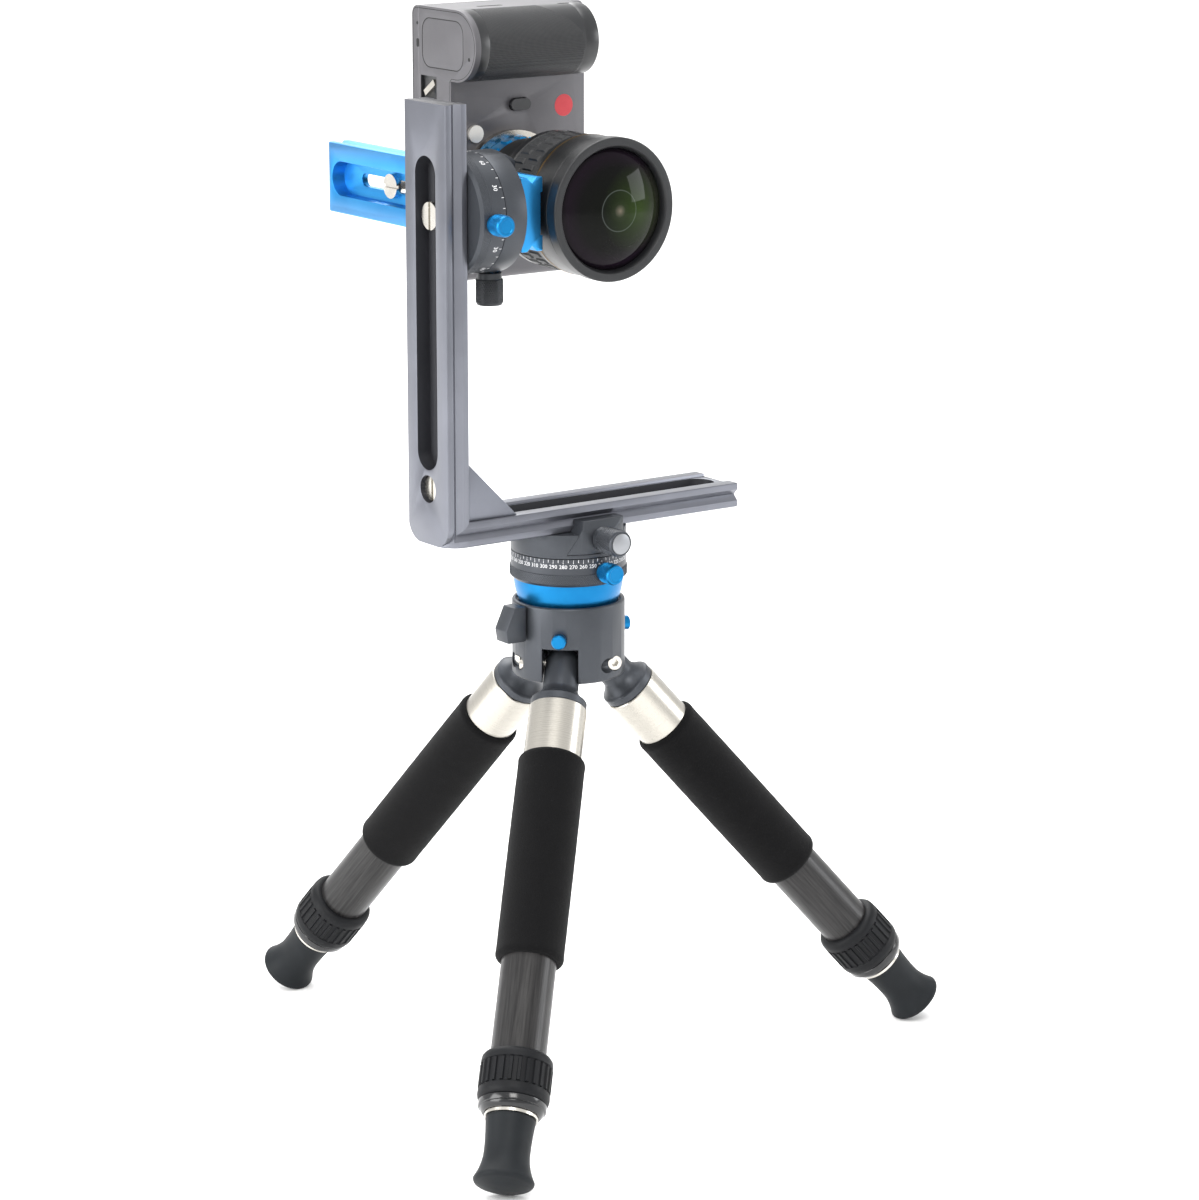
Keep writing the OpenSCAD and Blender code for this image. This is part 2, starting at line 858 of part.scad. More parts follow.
module tilt_base() {
    color("dimgray")
        difference() {
            at_tilt(tilt_base_x)
                difference() {
                    rotator_base(tilt_r);
                    rotate([0, 0, -90])
                        lock_bore(tilt_r, 2);
                }
            translate([tilt_base_x - 1, 0, tilt_z])
                rotate([0, 90, 0])
                    cylinder(r = slot_shank_r, h = 9);
        }
}

module slot_screw() {
    color("silver")
        translate([recess_d - corner_x - face_gap, 0, tilt_z])
            rotate([0, 90, 0])
                slotted_screw(slot_head_r, slot_head_h, slot_shank_r,
                              rail_t - recess_d + 2 * face_gap + 8);
}

module tilt_clamp() {
    color("dimgray")
        at_tilt(tilt_clamp_x)
            clamp_body(tilt_r, tilt_jaw_len);
}

module tilt_lock_knob() {
    color("dodgerblue")
        at_tilt(tilt_base_x)
            rotate([0, 0, -90])
                lock_knob(tilt_r, 2);
}

module tilt_jaw() {
    color("gray")
        at_tilt(tilt_clamp_x)
            clamp_jaw(tilt_r, tilt_jaw_len);
}

module tilt_jaw_knob() {
    color("black")
        at_tilt(tilt_clamp_x)
            jaw_knob(tilt_r);
}

module camera_rail() {
    wide_end = camera_rail_len - 3 - slot_wide / 2;
    color("deepskyblue")
        at_tilt(camera_rail_x)
            translate([-camera_rail_front, 0, 0])
                difference() {
                    rail(camera_rail_len);
                    rail_slot(24, wide_end - 12, wide_end, recess_d);
                }
}

module rail_screws() {
    seat = recess_d - 0.01;
    color("silver")
        for (y = rail_screw_y)
            at_tilt(camera_rail_x)
                translate([y, 0, seat])
                    slotted_screw(rail_head_r, 3, slot_shank_r,
                                  y < cam_back ? rail_t - seat + base_wall - 0.5 : rail_t - seat);
}

// ---- camera ----

// Extrude a Y-Z outline along X
module along_x(x0, x1) {
    translate([x0, 0, 0])
        rotate([90, 0, 90])
            linear_extrude(x1 - x0)
                children();
}

// Rectangle with rounded corners
module rounded(x0, y0, x1, y1, r) {
    translate([x0 + r, y0])
        square([x1 - x0 - 2 * r, y1 - y0]);
    translate([x0, y0 + r])
        square([x1 - x0, y1 - y0 - 2 * r]);
    for (x = [x0 + r, x1 - r], y = [y0 + r, y1 - r])
        translate([x, y])
            circle(r = r);
}

module body_outline(inset) {
    rounded(cam_front + inset, cam_z0 + inset, cam_back - inset, cam_z1 - inset, 5 - inset / 2);
}

module hand_outline(inset) {
    translate([hand_y, hand_z])
        circle(r = hand_r - inset);
    translate([hand_y, hand_z - hand_r + inset])
        square([cam_split - hand_y, 2 * (hand_r - inset)]);
}

module battery_outline(gap) {
    rounded(battery_y - battery_size[1] / 2 - gap, hand_z - battery_size[2] / 2 - gap,
            battery_y + battery_size[1] / 2 + gap, hand_z + battery_size[2] / 2 + gap, battery_r);
}

module camera_blank() {
    along_x(cam_base_x, cam_top_x)
        body_outline(0);
    along_x(cam_base_x, hand_end_x)
        hand_outline(0);
}

module camera_room() {
    along_x(cam_base_x + base_wall, cam_top_x - cam_wall)
        body_outline(cam_wall);
    along_x(cam_base_x + base_wall, hand_end_x - cam_wall)
        hand_outline(cam_wall);
}

module grip_skin() {
    intersection() {
        along_x(cover_from, cover_to)
            difference() {
                translate([hand_y, hand_z])
                    circle(r = hand_r);
                translate([hand_y, hand_z])
                    circle(r = hand_r - cover_t);
            }
        translate([cover_from - 1, hand_y - 2 * hand_r, hand_z - 2 * hand_r])
            cube([cover_to - cover_from + 2, 2 * hand_r, 4 * hand_r]);
    }
}

module at_lens() {
    translate([lens_x, 0, tilt_z])
        rotate([90, 0, 0])
            children();
}

module front_shell() {
    color("slategray")
        difference() {
            camera_blank();
            camera_room();
            grip_skin();
            translate([cam_base_x - 1, cam_split, cam_z0 - 1])
                cube([cam_h + 2, cam_t, cam_l + 2]);
            along_x(cam_base_x - 1, cam_base_x + base_wall + 1)
                battery_outline(0.3);
            translate([cam_base_x - 1, lever_y - lever_w / 2, lever_cz - lever_h / 2])
                cube([3.2, lever_w, lever_h]);
            translate([cam_base_x - 1, lever_y, lever_cz])
                rotate([0, 90, 0])
                    cylinder(r = 1.5 + run_gap, h = 10);
            at_lens()
                translate([0, 0, mount_at - 10])
                    cylinder(r = mount_r - 6, h = 20);
            translate([release_pos[0], cam_front + 10, release_pos[1]])
                rotate([90, 0, 0])
                    cylinder(r = release_r + run_gap, h = 20);
            translate([fn_pos[0], cam_front + 10, fn_pos[1]])
                rotate([90, 0, 0])
                    obround(fn_h + 0.5, -(fn_len - fn_h) / 2, (fn_len - fn_h) / 2, 20);
            translate([hand_end_x - 5, shutter_pos[0], shutter_pos[1]])
                rotate([0, 90, 0])
                    cylinder(r = shutter_r + run_gap, h = 20);
            translate([cam_top_x - 5, dial_pos[0], dial_pos[1]])
                rotate([0, 90, 0])
                    cylinder(r = 3 + run_gap, h = 20);
            translate([cam_base_x - 1, rail_screw_y[0], tilt_z])
                rotate([0, 90, 0])
                    cylinder(r = slot_shank_r, h = base_wall + 2);
        }
}

module rear_shell() {
    color("slategray")
        difference() {
            intersection() {
                along_x(cam_base_x, cam_top_x)
                    body_outline(0);
                translate([cam_base_x - 1, cam_split + 0.05, cam_z0 - 1])
                    cube([cam_h + 2, cam_t, cam_l + 2]);
            }
            along_x(cam_base_x + base_wall, cam_top_x - cam_wall)
                body_outline(cam_wall);
            translate([lens_x - screen_size[0] / 2, cam_back - 1.2, tilt_z - screen_size[1] / 2 + 4])
                cube([screen_size[0], 5, screen_size[1]]);
        }
}

module screen() {
    color("black")
        translate([lens_x - screen_size[0] / 2 + 0.2, cam_back - 1.2, tilt_z - screen_size[1] / 2 + 4.2])
            cube([screen_size[0] - 0.4, 1.6, screen_size[1] - 0.4]);
}

module grip_cover() {
    color("black")
        grip_skin();
}

module battery() {
    color("dimgray")
        along_x(cam_base_x, cam_base_x + battery_size[0])
            battery_outline(0);
}

module battery_lever() {
    color("silver")
        translate([cam_base_x + 0.3, lever_y, lever_cz])
            rotate([-35, 0, 0]) {
                translate([0, -5.6, -1.6])
                    cube([1.7, 11.2, 3.2]);
                rotate([0, 90, 0])
                    cylinder(r = 1.5, h = 7);
            }
}

module mount_ring() {
    color("silver")
        at_lens()
            difference() {
                union() {
                    translate([0, 0, mount_at])
                        cylinder(r = mount_r, h = 4);
                    translate([0, 0, mount_at - 3])
                        cylinder(r = mount_r - 6, h = 4);
                }
                translate([0, 0, mount_at - 4])
                    cylinder(r = mount_r - 9, h = 12);
            }
}

module lens_release() {
    color("gray")
        translate([release_pos[0], cam_front + 6, release_pos[1]])
            rotate([90, 0, 0])
                cylinder(r = release_r, h = 8);
}

module function_button() {
    color("black")
        translate([fn_pos[0], cam_front + 6, fn_pos[1]])
            rotate([90, 0, 0])
                obround(fn_h - 0.2, -(fn_len - fn_h) / 2, (fn_len - fn_h) / 2, 8);
}

module shutter_button() {
    color("gray")
        translate([hand_end_x - 5, shutter_pos[0], shutter_pos[1]])
            rotate([0, 90, 0])
                cylinder(r = shutter_r, h = 7);
}

module mode_dial() {
    color("gray")
        translate([cam_top_x, dial_pos[0], dial_pos[1]])
            rotate([0, 90, 0]) {
                translate([0, 0, 0.3])
                    cylinder(r = dial_r, h = dial_h);
                translate([0, 0, -4])
                    cylinder(r = 3, h = 5);
            }
}

// Eyepiece housing on the top plate, with an accessory shoe on it
module viewfinder() {
    shoe_w = 18.6;
    color("slategray")
        difference() {
            union() {
                translate([cam_top_x, cam_front + 3, tilt_z - finder_w / 2])
                    cube([finder_h, cam_t - 6, finder_w]);
                translate([cam_top_x + 1, cam_back - 4, tilt_z - 11])
                    cube([finder_h - 3, 8, 22]);
            }
            translate([cam_top_x + finder_h - 3, cam_front + 10, tilt_z - shoe_w / 2])
                cube([2, cam_t, shoe_w]);
            translate([cam_top_x + finder_h - 2, cam_front + 10, tilt_z - shoe_w / 2 + 3])
                cube([4, cam_t, shoe_w - 6]);
            translate([cam_top_x + 4, cam_back + 1, tilt_z - 8])
                cube([6, 6, 16]);
        }
}

module image_sensor() {
    frame_w = 6;
    color("darkgreen")
        translate([lens_x - sensor_size[0] / 2 - frame_w, cam_front + 20, tilt_z - sensor_size[1] / 2 - frame_w])
            cube([sensor_size[0] + 2 * frame_w, 2, sensor_size[1] + 2 * frame_w]);
}

// ---- lens ----

module lens_adapter() {
    color("steelblue")
        at_lens()
            translate([0, 0, adapter_at])
                ring(adapter_r, adapter_r - 4, adapter_len);
}

module lens_barrel() {
    wall = 4;
    color("black")
        at_lens()
            rotate_extrude()
                polygon([[adapter_r - 4, barrel_at], [adapter_r + 2, barrel_at],
                         [focus_r - 0.4, barrel_at + 10], [focus_r - 0.4, focus_at - 0.3],
                         [core_r, focus_at - 0.3], [core_r, front_at - 1], [focus_r, front_at - 1],
                         [lens_r, front_at + 3], [lens_r, lens_front - 1], [lens_r - 1, lens_front],
                         [glass_r + 1.4, lens_front], [glass_r + 0.1, lens_front - 3],
                         [glass_r + 0.1, lens_front - 6],
                         [core_r - wall, front_at + 4], [core_r - wall, barrel_at + 6],
                         [adapter_r - 4, barrel_at + 2]]);
}

module focus_ring() {
    color("black")
        at_lens()
            translate([0, 0, focus_at])
                ring(focus_r, core_r + run_gap, focus_len);
}

// Front glass and the inner glass group
module lens_elements() {
    dome = 60;
    edge = sqrt(pow(dome, 2) - pow(glass_r, 2));
    glass_at = lens_front - 6;
    color("darkslateblue", 0.6)
        at_lens() {
            intersection() {
                translate([0, 0, glass_at + 2 - edge])
                    sphere(r = dome);
                translate([0, 0, glass_at])
                    cylinder(r = glass_r, h = 20);
            }
            translate([0, 0, barrel_at + 8])
                cylinder(r = core_r - 4, h = 5);
        }
}

hub_housing();
hinge_pins();
brake_lever();
brake_cup();
stop_button_a();
stop_button_b();
stop_button_c();
leg_head_a();
leg_head_b();
leg_head_c();
foam_grip_a();
foam_grip_b();
foam_grip_c();
leg_tube_a();
leg_tube_b();
leg_tube_c();
twist_lock_a();
twist_lock_b();
twist_lock_c();
inner_tube_a();
inner_tube_b();
inner_tube_c();
foot_a();
foot_b();
foot_c();
level_ball();
pan_base();
pan_lock_knob();
pan_clamp();
pan_jaw();
pan_jaw_knob();
horizontal_rail();
vertical_rail();
corner_block();
corner_screws();
tilt_base();
slot_screw();
tilt_clamp();
tilt_lock_knob();
tilt_jaw();
tilt_jaw_knob();
camera_rail();
rail_screws();
front_shell();
rear_shell();
grip_cover();
battery();
battery_lever();
mount_ring();
lens_release();
function_button();
shutter_button();
mode_dial();
screen();
viewfinder();
image_sensor();
lens_adapter();
lens_barrel();
focus_ring();
lens_elements();
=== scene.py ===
"""Looks for a camera on an L bracket with two rotators and a short three-legged tripod.

Each operator makes one piece or a group of like pieces. Sizes are in millimetres in the
property groups and in metres in the meshes.
"""
import json
import math

import bmesh
import bpy
from bpy.props import FloatProperty, IntProperty, PointerProperty, StringProperty
from mathutils import Matrix, Vector


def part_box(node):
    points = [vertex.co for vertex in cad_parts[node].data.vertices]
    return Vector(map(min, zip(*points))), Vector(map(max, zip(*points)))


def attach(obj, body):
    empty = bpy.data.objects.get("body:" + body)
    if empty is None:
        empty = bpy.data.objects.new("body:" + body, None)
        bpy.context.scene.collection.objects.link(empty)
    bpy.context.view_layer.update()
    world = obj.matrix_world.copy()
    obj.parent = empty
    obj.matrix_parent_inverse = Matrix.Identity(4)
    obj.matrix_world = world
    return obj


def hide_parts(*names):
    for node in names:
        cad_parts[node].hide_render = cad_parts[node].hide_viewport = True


bl_info = {
    "name": "Panorama camera on table tripod",
    "version": (1, 0, 0),
    "blender": (4, 5, 0),
    "location": "View3D > Sidebar > Panorama",
    "description": "Builds the looks of a camera on a panorama bracket and a table tripod",
    "category": "Object",
}

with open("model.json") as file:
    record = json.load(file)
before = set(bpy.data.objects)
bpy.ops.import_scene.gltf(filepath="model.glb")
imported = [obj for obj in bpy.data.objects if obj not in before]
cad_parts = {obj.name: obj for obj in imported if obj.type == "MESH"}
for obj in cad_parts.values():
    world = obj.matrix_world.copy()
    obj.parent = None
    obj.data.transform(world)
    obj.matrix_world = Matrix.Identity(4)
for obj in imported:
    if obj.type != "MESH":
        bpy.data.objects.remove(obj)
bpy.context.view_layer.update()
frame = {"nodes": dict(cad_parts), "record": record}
MM = 0.001
LEGS = ("a", "b", "c")
X, Y, Z = Vector((1, 0, 0)), Vector((0, 1, 0)), Vector((0, 0, 1))
JOINTS = {joint["name"]: joint for joint in frame["record"]["behaviour"]["joints"]}


# ---- places

def low(node):
    """Lowest corner of a CAD node, in mm."""
    return Vector(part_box(node)[0]) / MM


def high(node):
    """Highest corner of a CAD node, in mm."""
    return Vector(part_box(node)[1]) / MM


def mid(node):
    """Middle of a CAD node's box, in mm."""
    return (low(node) + high(node)) / 2


def half_width(node):
    """Half the width of a CAD node along X, in mm: the radius of a round one."""
    return (high(node).x - low(node).x) / 2


def axes(origin, x, y, z):
    """Matrix of a local frame whose units are mm and whose origin is given in mm."""
    place = Matrix((x, y, z)).transposed().to_4x4()
    place.translation = Vector(origin)
    return Matrix.Scale(MM, 4) @ place


def joint_pos(name):
    """A joint's place, in mm."""
    return Vector(JOINTS[name]["pos_m"]) / MM


def joint_axis(name):
    """A joint's unit axis."""
    return Vector(JOINTS[name]["axis"]).normalized()


def leg_frame(leg):
    """+Z runs down the leg from its hinge, +Y along the hinge."""
    down, hinge = joint_axis(f"leg_{leg}_extend"), -joint_axis(f"leg_{leg}_spread")
    return axes(joint_pos(f"leg_{leg}_spread"), hinge.cross(down), hinge, down)


def leg_foot_station(leg):
    """Distance along the leg from its hinge to the top of its foot, in mm."""
    return (joint_pos(f"leg_{leg}_extend") - joint_pos(f"leg_{leg}_spread")).length


def lens_frame():
    """+Z runs forward along the lens from the tilting axis's plane."""
    at = mid("lens_barrel")
    return axes((at.x, 0, at.z), X, Z, -Y)


def pan_frame():
    """Stands on the underside of the panning base."""
    return axes((0, 0, low("pan_base").z), X, Y, Z)


def tilt_frame():
    """Stands on the tilting base where it meets the upright rail, +Z away from the rail."""
    return axes((low("tilt_base").x, 0, mid("tilt_clamp").z), Y, Z, X)


# ---- meshes

def finished(obj, body, finish, *replaced):
    """Gives a new piece its finish and body, and hides the CAD nodes that it stands for."""
    obj.data.materials.clear()
    obj.data.materials.append(FINISHES[finish])
    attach(obj, body)
    if replaced:
        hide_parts(*replaced)
    return obj


def smooth_by_angle(mesh, degrees=32):
    """Smooth shading with a crease at every edge sharper than the angle."""
    bm = bmesh.new()
    bm.from_mesh(mesh)
    for face in bm.faces:
        face.smooth = True
    limit = math.radians(degrees)
    for edge in bm.edges:
        if len(edge.link_faces) == 2:
            edge.smooth = edge.calc_face_angle(0) < limit
    bm.to_mesh(mesh)
    bm.free()


def new_object(name, bm):
    """Linked object at the origin whose mesh is the bmesh, which is freed."""
    mesh = bpy.data.meshes.new(name)
    bm.to_mesh(mesh)
    bm.free()
    obj = bpy.data.objects.new(name, mesh)
    bpy.context.scene.collection.objects.link(obj)
    return obj


def mesh_piece(name, bm, place=None, degrees=32):
    """Smooth-shaded object from a bmesh in mm, moved by place."""
    if place is not None:
        bmesh.ops.transform(bm, matrix=place, verts=bm.verts)
    bmesh.ops.recalc_face_normals(bm, faces=bm.faces)
    obj = new_object(name, bm)
    smooth_by_angle(obj.data, degrees)
    return obj


def add_lathe(bm, profile, turns=96, closed=False):
    """Adds a surface of revolution about Z; profile is a list of (radius, height)."""
    angles = [2 * math.pi * i / turns for i in range(turns)]
    rings = []
    for r, z in profile:
        spots = [(r * math.cos(t), r * math.sin(t), z) for t in angles] if r > 1e-6 else [(0, 0, z)]
        rings.append([bm.verts.new(spot) for spot in spots])
    pairs = list(zip(rings, rings[1:]))
    if closed:
        pairs.append((rings[-1], rings[0]))
    for a, b in pairs:
        for i in range(turns):
            j = (i + 1) % turns
            face = dict.fromkeys((a[i % len(a)], a[j % len(a)], b[j % len(b)], b[i % len(b)]))
            if len(face) > 2:
                bm.faces.new(list(face))


def turned(name, profile, place, body, finish, *replaced, turns=96, closed=False, degrees=32):
    """Finished piece of revolution about the local Z axis of place."""
    bm = bmesh.new()
    add_lathe(bm, profile, turns, closed)
    return finished(mesh_piece(name, bm, place, degrees), body, finish, *replaced)


def fillet(cx, cz, r, start, end, steps=6):
    """Profile points of a rounded edge."""
    return [(cx + r * math.cos(math.radians(start + (end - start) * i / steps)),
             cz + r * math.sin(math.radians(start + (end - start) * i / steps))) for i in range(steps + 1)]


def settle(obj):
    """Turns the evaluated object into its own plain mesh and drops the modifiers."""
    graph = bpy.context.evaluated_depsgraph_get()
    mesh = bpy.data.meshes.new_from_object(obj.evaluated_get(graph))
    obj.modifiers.clear()
    obj.data = mesh


def offset(r, z, *steps):
    """Profile points given by their steps out of a corner."""
    return [(r + out, z + up) for out, up in steps]


def softened(node, width, body, finish):
    """Copy of a CAD node with its flat faces joined up and its sharp edges rounded by width in mm."""
    bm = bmesh.new()
    bm.from_mesh(frame["nodes"][node].data)
    bmesh.ops.remove_doubles(bm, verts=bm.verts, dist=2e-6)
    bmesh.ops.dissolve_limit(bm, angle_limit=math.radians(0.5), verts=bm.verts, edges=bm.edges)
    obj = new_object(f"{node}_body", bm)
    edges = obj.modifiers.new("Edges", "BEVEL")
    edges.width = width * MM
    edges.segments = 2
    edges.limit_method = "ANGLE"
    edges.angle_limit = math.radians(28)
    edges.use_clamp_overlap = True
    edges.miter_outer = "MITER_ARC"
    settle(obj)
    smooth_by_angle(obj.data, 40)
    return finished(obj, body, finish, node)


def prism(bm, outline, z0, z1):
    """Adds a closed straight prism over an outline in X and Y."""
    bottom = [bm.verts.new((x, y, z0)) for x, y in outline]
    top = [bm.verts.new((x, y, z1)) for x, y in outline]
    bm.faces.new(list(reversed(bottom)))
    bm.faces.new(top)
    for i in range(len(outline)):
        j = (i + 1) % len(outline)
        bm.faces.new((bottom[i], bottom[j], top[j], top[i]))


def rounded_rect(x0, y0, x1, y1, r, steps=8):
    """Outline of a rectangle with rounded corners, counter-clockwise."""
    points = []
    for cx, cy, start in ((x1 - r, y0 + r, -90), (x1 - r, y1 - r, 0), (x0 + r, y1 - r, 90),
                          (x0 + r, y0 + r, 180)):
        points += fillet(cx, cy, r, start, start + 90, steps)
    return points


def line_strip(bm, points, width, z0, z1):
    """Adds a thin closed bead that follows a closed outline in X and Y."""
    count = len(points)
    rings = []
    for i in range(count):
        here, before, after = Vector(points[i]), Vector(points[i - 1]), Vector(points[(i + 1) % count])
        along = ((after - here).normalized() + (here - before).normalized()).normalized()
        across = Vector((-along.y, along.x)) * width / 2
        rings.append([bm.verts.new((*(here + across), z0)), bm.verts.new((*(here + across), z1)),
                      bm.verts.new((*(here - across), z1)), bm.verts.new((*(here - across), z0))])
    for i in range(count):
        a, b = rings[i], rings[(i + 1) % count]
        for k in range(4):
            bm.faces.new((a[k], a[(k + 1) % 4], b[(k + 1) % 4], b[k]))


# ---- repeats by geometry nodes

def add_node(tree, kind, inputs=None, **settings):
    """Adds a node, sets its options, and fills its inputs with values or links."""
    node = tree.nodes.new(kind)
    for key, value in settings.items():
        setattr(node, key, value)
    for key, value in (inputs or {}).items():
        socket = node.inputs[key]
        if isinstance(value, bpy.types.NodeSocket):
            tree.links.new(value, socket)
        else:
            socket.default_value = value
    return node


def calc(tree, operation, *values):
    """Result of one math node on values or sockets."""
    return add_node(tree, "ShaderNodeMath", dict(enumerate(values)), operation=operation).outputs[0]


def ring_tree():
    """Copies of one small rib, stood around the Z axis and repeated in rows up that axis."""
    tree = bpy.data.node_groups.new("Ribs round an axis", "GeometryNodeTree")
    face = tree.interface
    face.new_socket("Geometry", in_out="INPUT", socket_type="NodeSocketGeometry")
    for name, kind in (("Count", "Int"), ("Rows", "Int"), ("Radius", "Float"), ("Row step", "Float"),
                       ("Row turn", "Float"), ("Start", "Float"), ("Material", "Material")):
        face.new_socket(name, in_out="INPUT", socket_type=f"NodeSocket{kind}")
    face.new_socket("Geometry", in_out="OUTPUT", socket_type="NodeSocketGeometry")
    given = add_node(tree, "NodeGroupInput").outputs
    total = calc(tree, "MULTIPLY", given["Count"], given["Rows"])
    points = add_node(tree, "GeometryNodeMeshLine", {"Count": total, "Offset": (0, 0, 0)})
    index = add_node(tree, "GeometryNodeInputIndex").outputs[0]
    row = calc(tree, "FLOOR", calc(tree, "DIVIDE", index, given["Count"]))
    part = calc(tree, "DIVIDE", calc(tree, "MODULO", index, given["Count"]), given["Count"])
    turn = calc(tree, "MULTIPLY_ADD", part, 2 * math.pi, given["Start"])
    turn = calc(tree, "MULTIPLY_ADD", row, given["Row turn"], turn)
    x = calc(tree, "MULTIPLY", calc(tree, "COSINE", turn), given["Radius"])
    y = calc(tree, "MULTIPLY", calc(tree, "SINE", turn), given["Radius"])
    z = calc(tree, "MULTIPLY", row, given["Row step"])
    spot = add_node(tree, "ShaderNodeCombineXYZ", {"X": x, "Y": y, "Z": z}).outputs[0]
    placed = add_node(tree, "GeometryNodeSetPosition", {"Geometry": points.outputs[0], "Position": spot})
    spin = add_node(tree, "ShaderNodeCombineXYZ", {"Z": turn}).outputs[0]
    copies = add_node(tree, "GeometryNodeInstanceOnPoints",
                      {"Points": placed.outputs[0], "Instance": given["Geometry"], "Rotation": spin})
    real = add_node(tree, "GeometryNodeRealizeInstances", {"Geometry": copies.outputs[0]})
    painted = add_node(tree, "GeometryNodeSetMaterial",
                       {"Geometry": real.outputs[0], "Material": given["Material"]})
    add_node(tree, "NodeGroupOutput", {"Geometry": painted.outputs[0]})
    return tree


def ribs(name, shape, place, body, finish, count, radius, rows=1, row_step=0.0, row_turn=0.0, start=0.0,
         degrees=32):
    """Repeats a small closed shape, made in mm with +X outwards, around the local Z axis of place."""
    bmesh.ops.recalc_face_normals(shape, faces=shape.faces)
    obj = new_object(name, shape)
    tree = bpy.data.node_groups.get("Ribs round an axis") or ring_tree()
    mod = obj.modifiers.new("Ribs", "NODES")
    mod.node_group = tree
    values = {"Count": count, "Rows": rows, "Radius": float(radius), "Row step": float(row_step),
              "Row turn": math.radians(row_turn), "Start": math.radians(start), "Material": FINISHES[finish]}
    for item in tree.interface.items_tree:
        if item.item_type == "SOCKET" and item.in_out == "INPUT" and item.name in values:
            mod[item.identifier] = values[item.name]
    settle(obj)
    obj.data.transform(place)
    if place.determinant() < 0:
        obj.data.flip_normals()
    smooth_by_angle(obj.data, degrees)
    return finished(obj, body, finish)


def block(x0, x1, y0, y1, z0, z1, taper=0.0):
    """Small block whose +X face is narrowed by taper all round."""
    bm = bmesh.new()
    inner = [(x0, y0, z0), (x0, y1, z0), (x0, y1, z1), (x0, y0, z1)]
    outer = [(x1, y0 + taper, z0 + taper), (x1, y1 - taper, z0 + taper),
             (x1, y1 - taper, z1 - taper), (x1, y0 + taper, z1 - taper)]
    a = [bm.verts.new(p) for p in inner]
    b = [bm.verts.new(p) for p in outer]
    bm.faces.new(a)
    bm.faces.new(list(reversed(b)))
    for i in range(4):
        j = (i + 1) % 4
        bm.faces.new((a[j], a[i], b[i], b[j]))
    return bm


# ---- finishes

def linear(hex_colour):
    """sRGB hex to a linear colour with alpha."""
    parts = [int(hex_colour.lstrip("#")[i:i + 2], 16) / 255 for i in (0, 2, 4)]
    return tuple(c / 12.92 if c <= 0.04045 else ((c + 0.055) / 1.055) ** 2.4 for c in parts) + (1.0,)


def start_finish(name, **constants):
    """Empty material with a Principled shader, whose even values are set on its own sockets."""
    material = bpy.data.materials.new(name)
    material.use_nodes = True
    tree = material.node_tree
    tree.nodes.clear()
    shader = add_node(tree, "ShaderNodeBsdfPrincipled")
    for key, value in constants.items():
        shader.inputs[key.replace("_", " ")].default_value = value
    add_node(tree, "ShaderNodeOutputMaterial", {"Surface": shader.outputs["BSDF"]})
    place = add_node(tree, "ShaderNodeTexCoord").outputs["Object"]
    return material, tree, shader, place


def wire(tree, shader, **sockets):
    """Links sockets to the shader's inputs of the given names."""
    for key, socket in sockets.items():
        tree.links.new(socket, shader.inputs[key.replace("_", " ")])


def per(grain_mm):
    """Texture scale of a grain as wide as given."""
    return 1 / (grain_mm * MM)


def noise(tree, vector, scale, detail):
    return add_node(tree, "ShaderNodeTexNoise", {"Vector": vector, "Scale": scale, "Detail": detail}).outputs[0]


def blend(tree, factor, a, b, **settings):
    """Colour mixed from two."""
    mix = add_node(tree, "ShaderNodeMix", {"Factor": factor, "A": a, "B": b}, data_type="RGBA", **settings)
    return mix.outputs["Result"]


def remap(tree, value, to=(0.0, 1.0), source=(0.0, 1.0)):
    """Value carried over from the source range to another."""
    ends = {"Value": value, "From Min": source[0], "From Max": source[1], "To Min": to[0], "To Max": to[1]}
    return add_node(tree, "ShaderNodeMapRange", ends).outputs[0]


def mottle(tree, place, shader, dark, light, patch_mm, roughness, spread):
    """Colour and roughness that wander a little over the surface, in patches of the given size."""
    patches = noise(tree, place, per(patch_mm), 4.0)
    wire(tree, shader, Base_Color=blend(tree, patches, linear(dark), linear(light)),
         Roughness=remap(tree, patches, (roughness - spread, roughness + spread)))


def relief(tree, shader, height, depth_mm, strength=1.0):
    """Bump from a height field, as deep as given."""
    bump = add_node(tree, "ShaderNodeBump", {"Height": height, "Distance": depth_mm * MM, "Strength": strength})
    wire(tree, shader, Normal=bump.outputs[0])


def grained(name, dark, light, roughness, patch, spread, grain, detail, depth, **constants):
    """Finish with slow patches and one even grain; patch, grain and depth in mm."""
    material, tree, shader, place = start_finish(name, **constants)
    mottle(tree, place, shader, dark, light, patch, roughness, spread)
    relief(tree, shader, noise(tree, place, per(grain), detail), depth)
    return material


def anodised(name, dark, light, roughness, metal=0.85):
    """Aluminium, bead-blasted and anodised: an even satin metal with a faint dry grain.
    The real grit is near 0.1 mm and is drawn at 0.35 mm so that it shows."""
    return grained(name, dark, light, roughness, patch=22, spread=0.03, grain=0.35, detail=2.0, depth=0.012,
                   Metallic=metal)


def turned_steel(name, light, dark, roughness):
    """Stainless steel turned on a lathe: bright, with fine scratches drawn 0.3 mm apart."""
    return grained(name, dark, light, roughness, patch=6, spread=0.05, grain=0.3, detail=3.0, depth=0.01,
                   Metallic=1.0)


def moulded(name, dark, light, roughness, grain=0.6, depth=0.03, **constants):
    """Moulded rubber or plastic: matt to satin, with an even spark-eroded grain."""
    return grained(name, dark, light, roughness, patch=14, spread=0.04, grain=grain, detail=3.0, depth=depth,
                   **constants)


def printed(name, dark, light):
    """Scale paint or enamel in a shallow engraving: flat, slightly rough, with a faint unevenness."""
    material, tree, shader, place = start_finish(name)
    mottle(tree, place, shader, dark, light, 3, 0.55, 0.05)
    return material


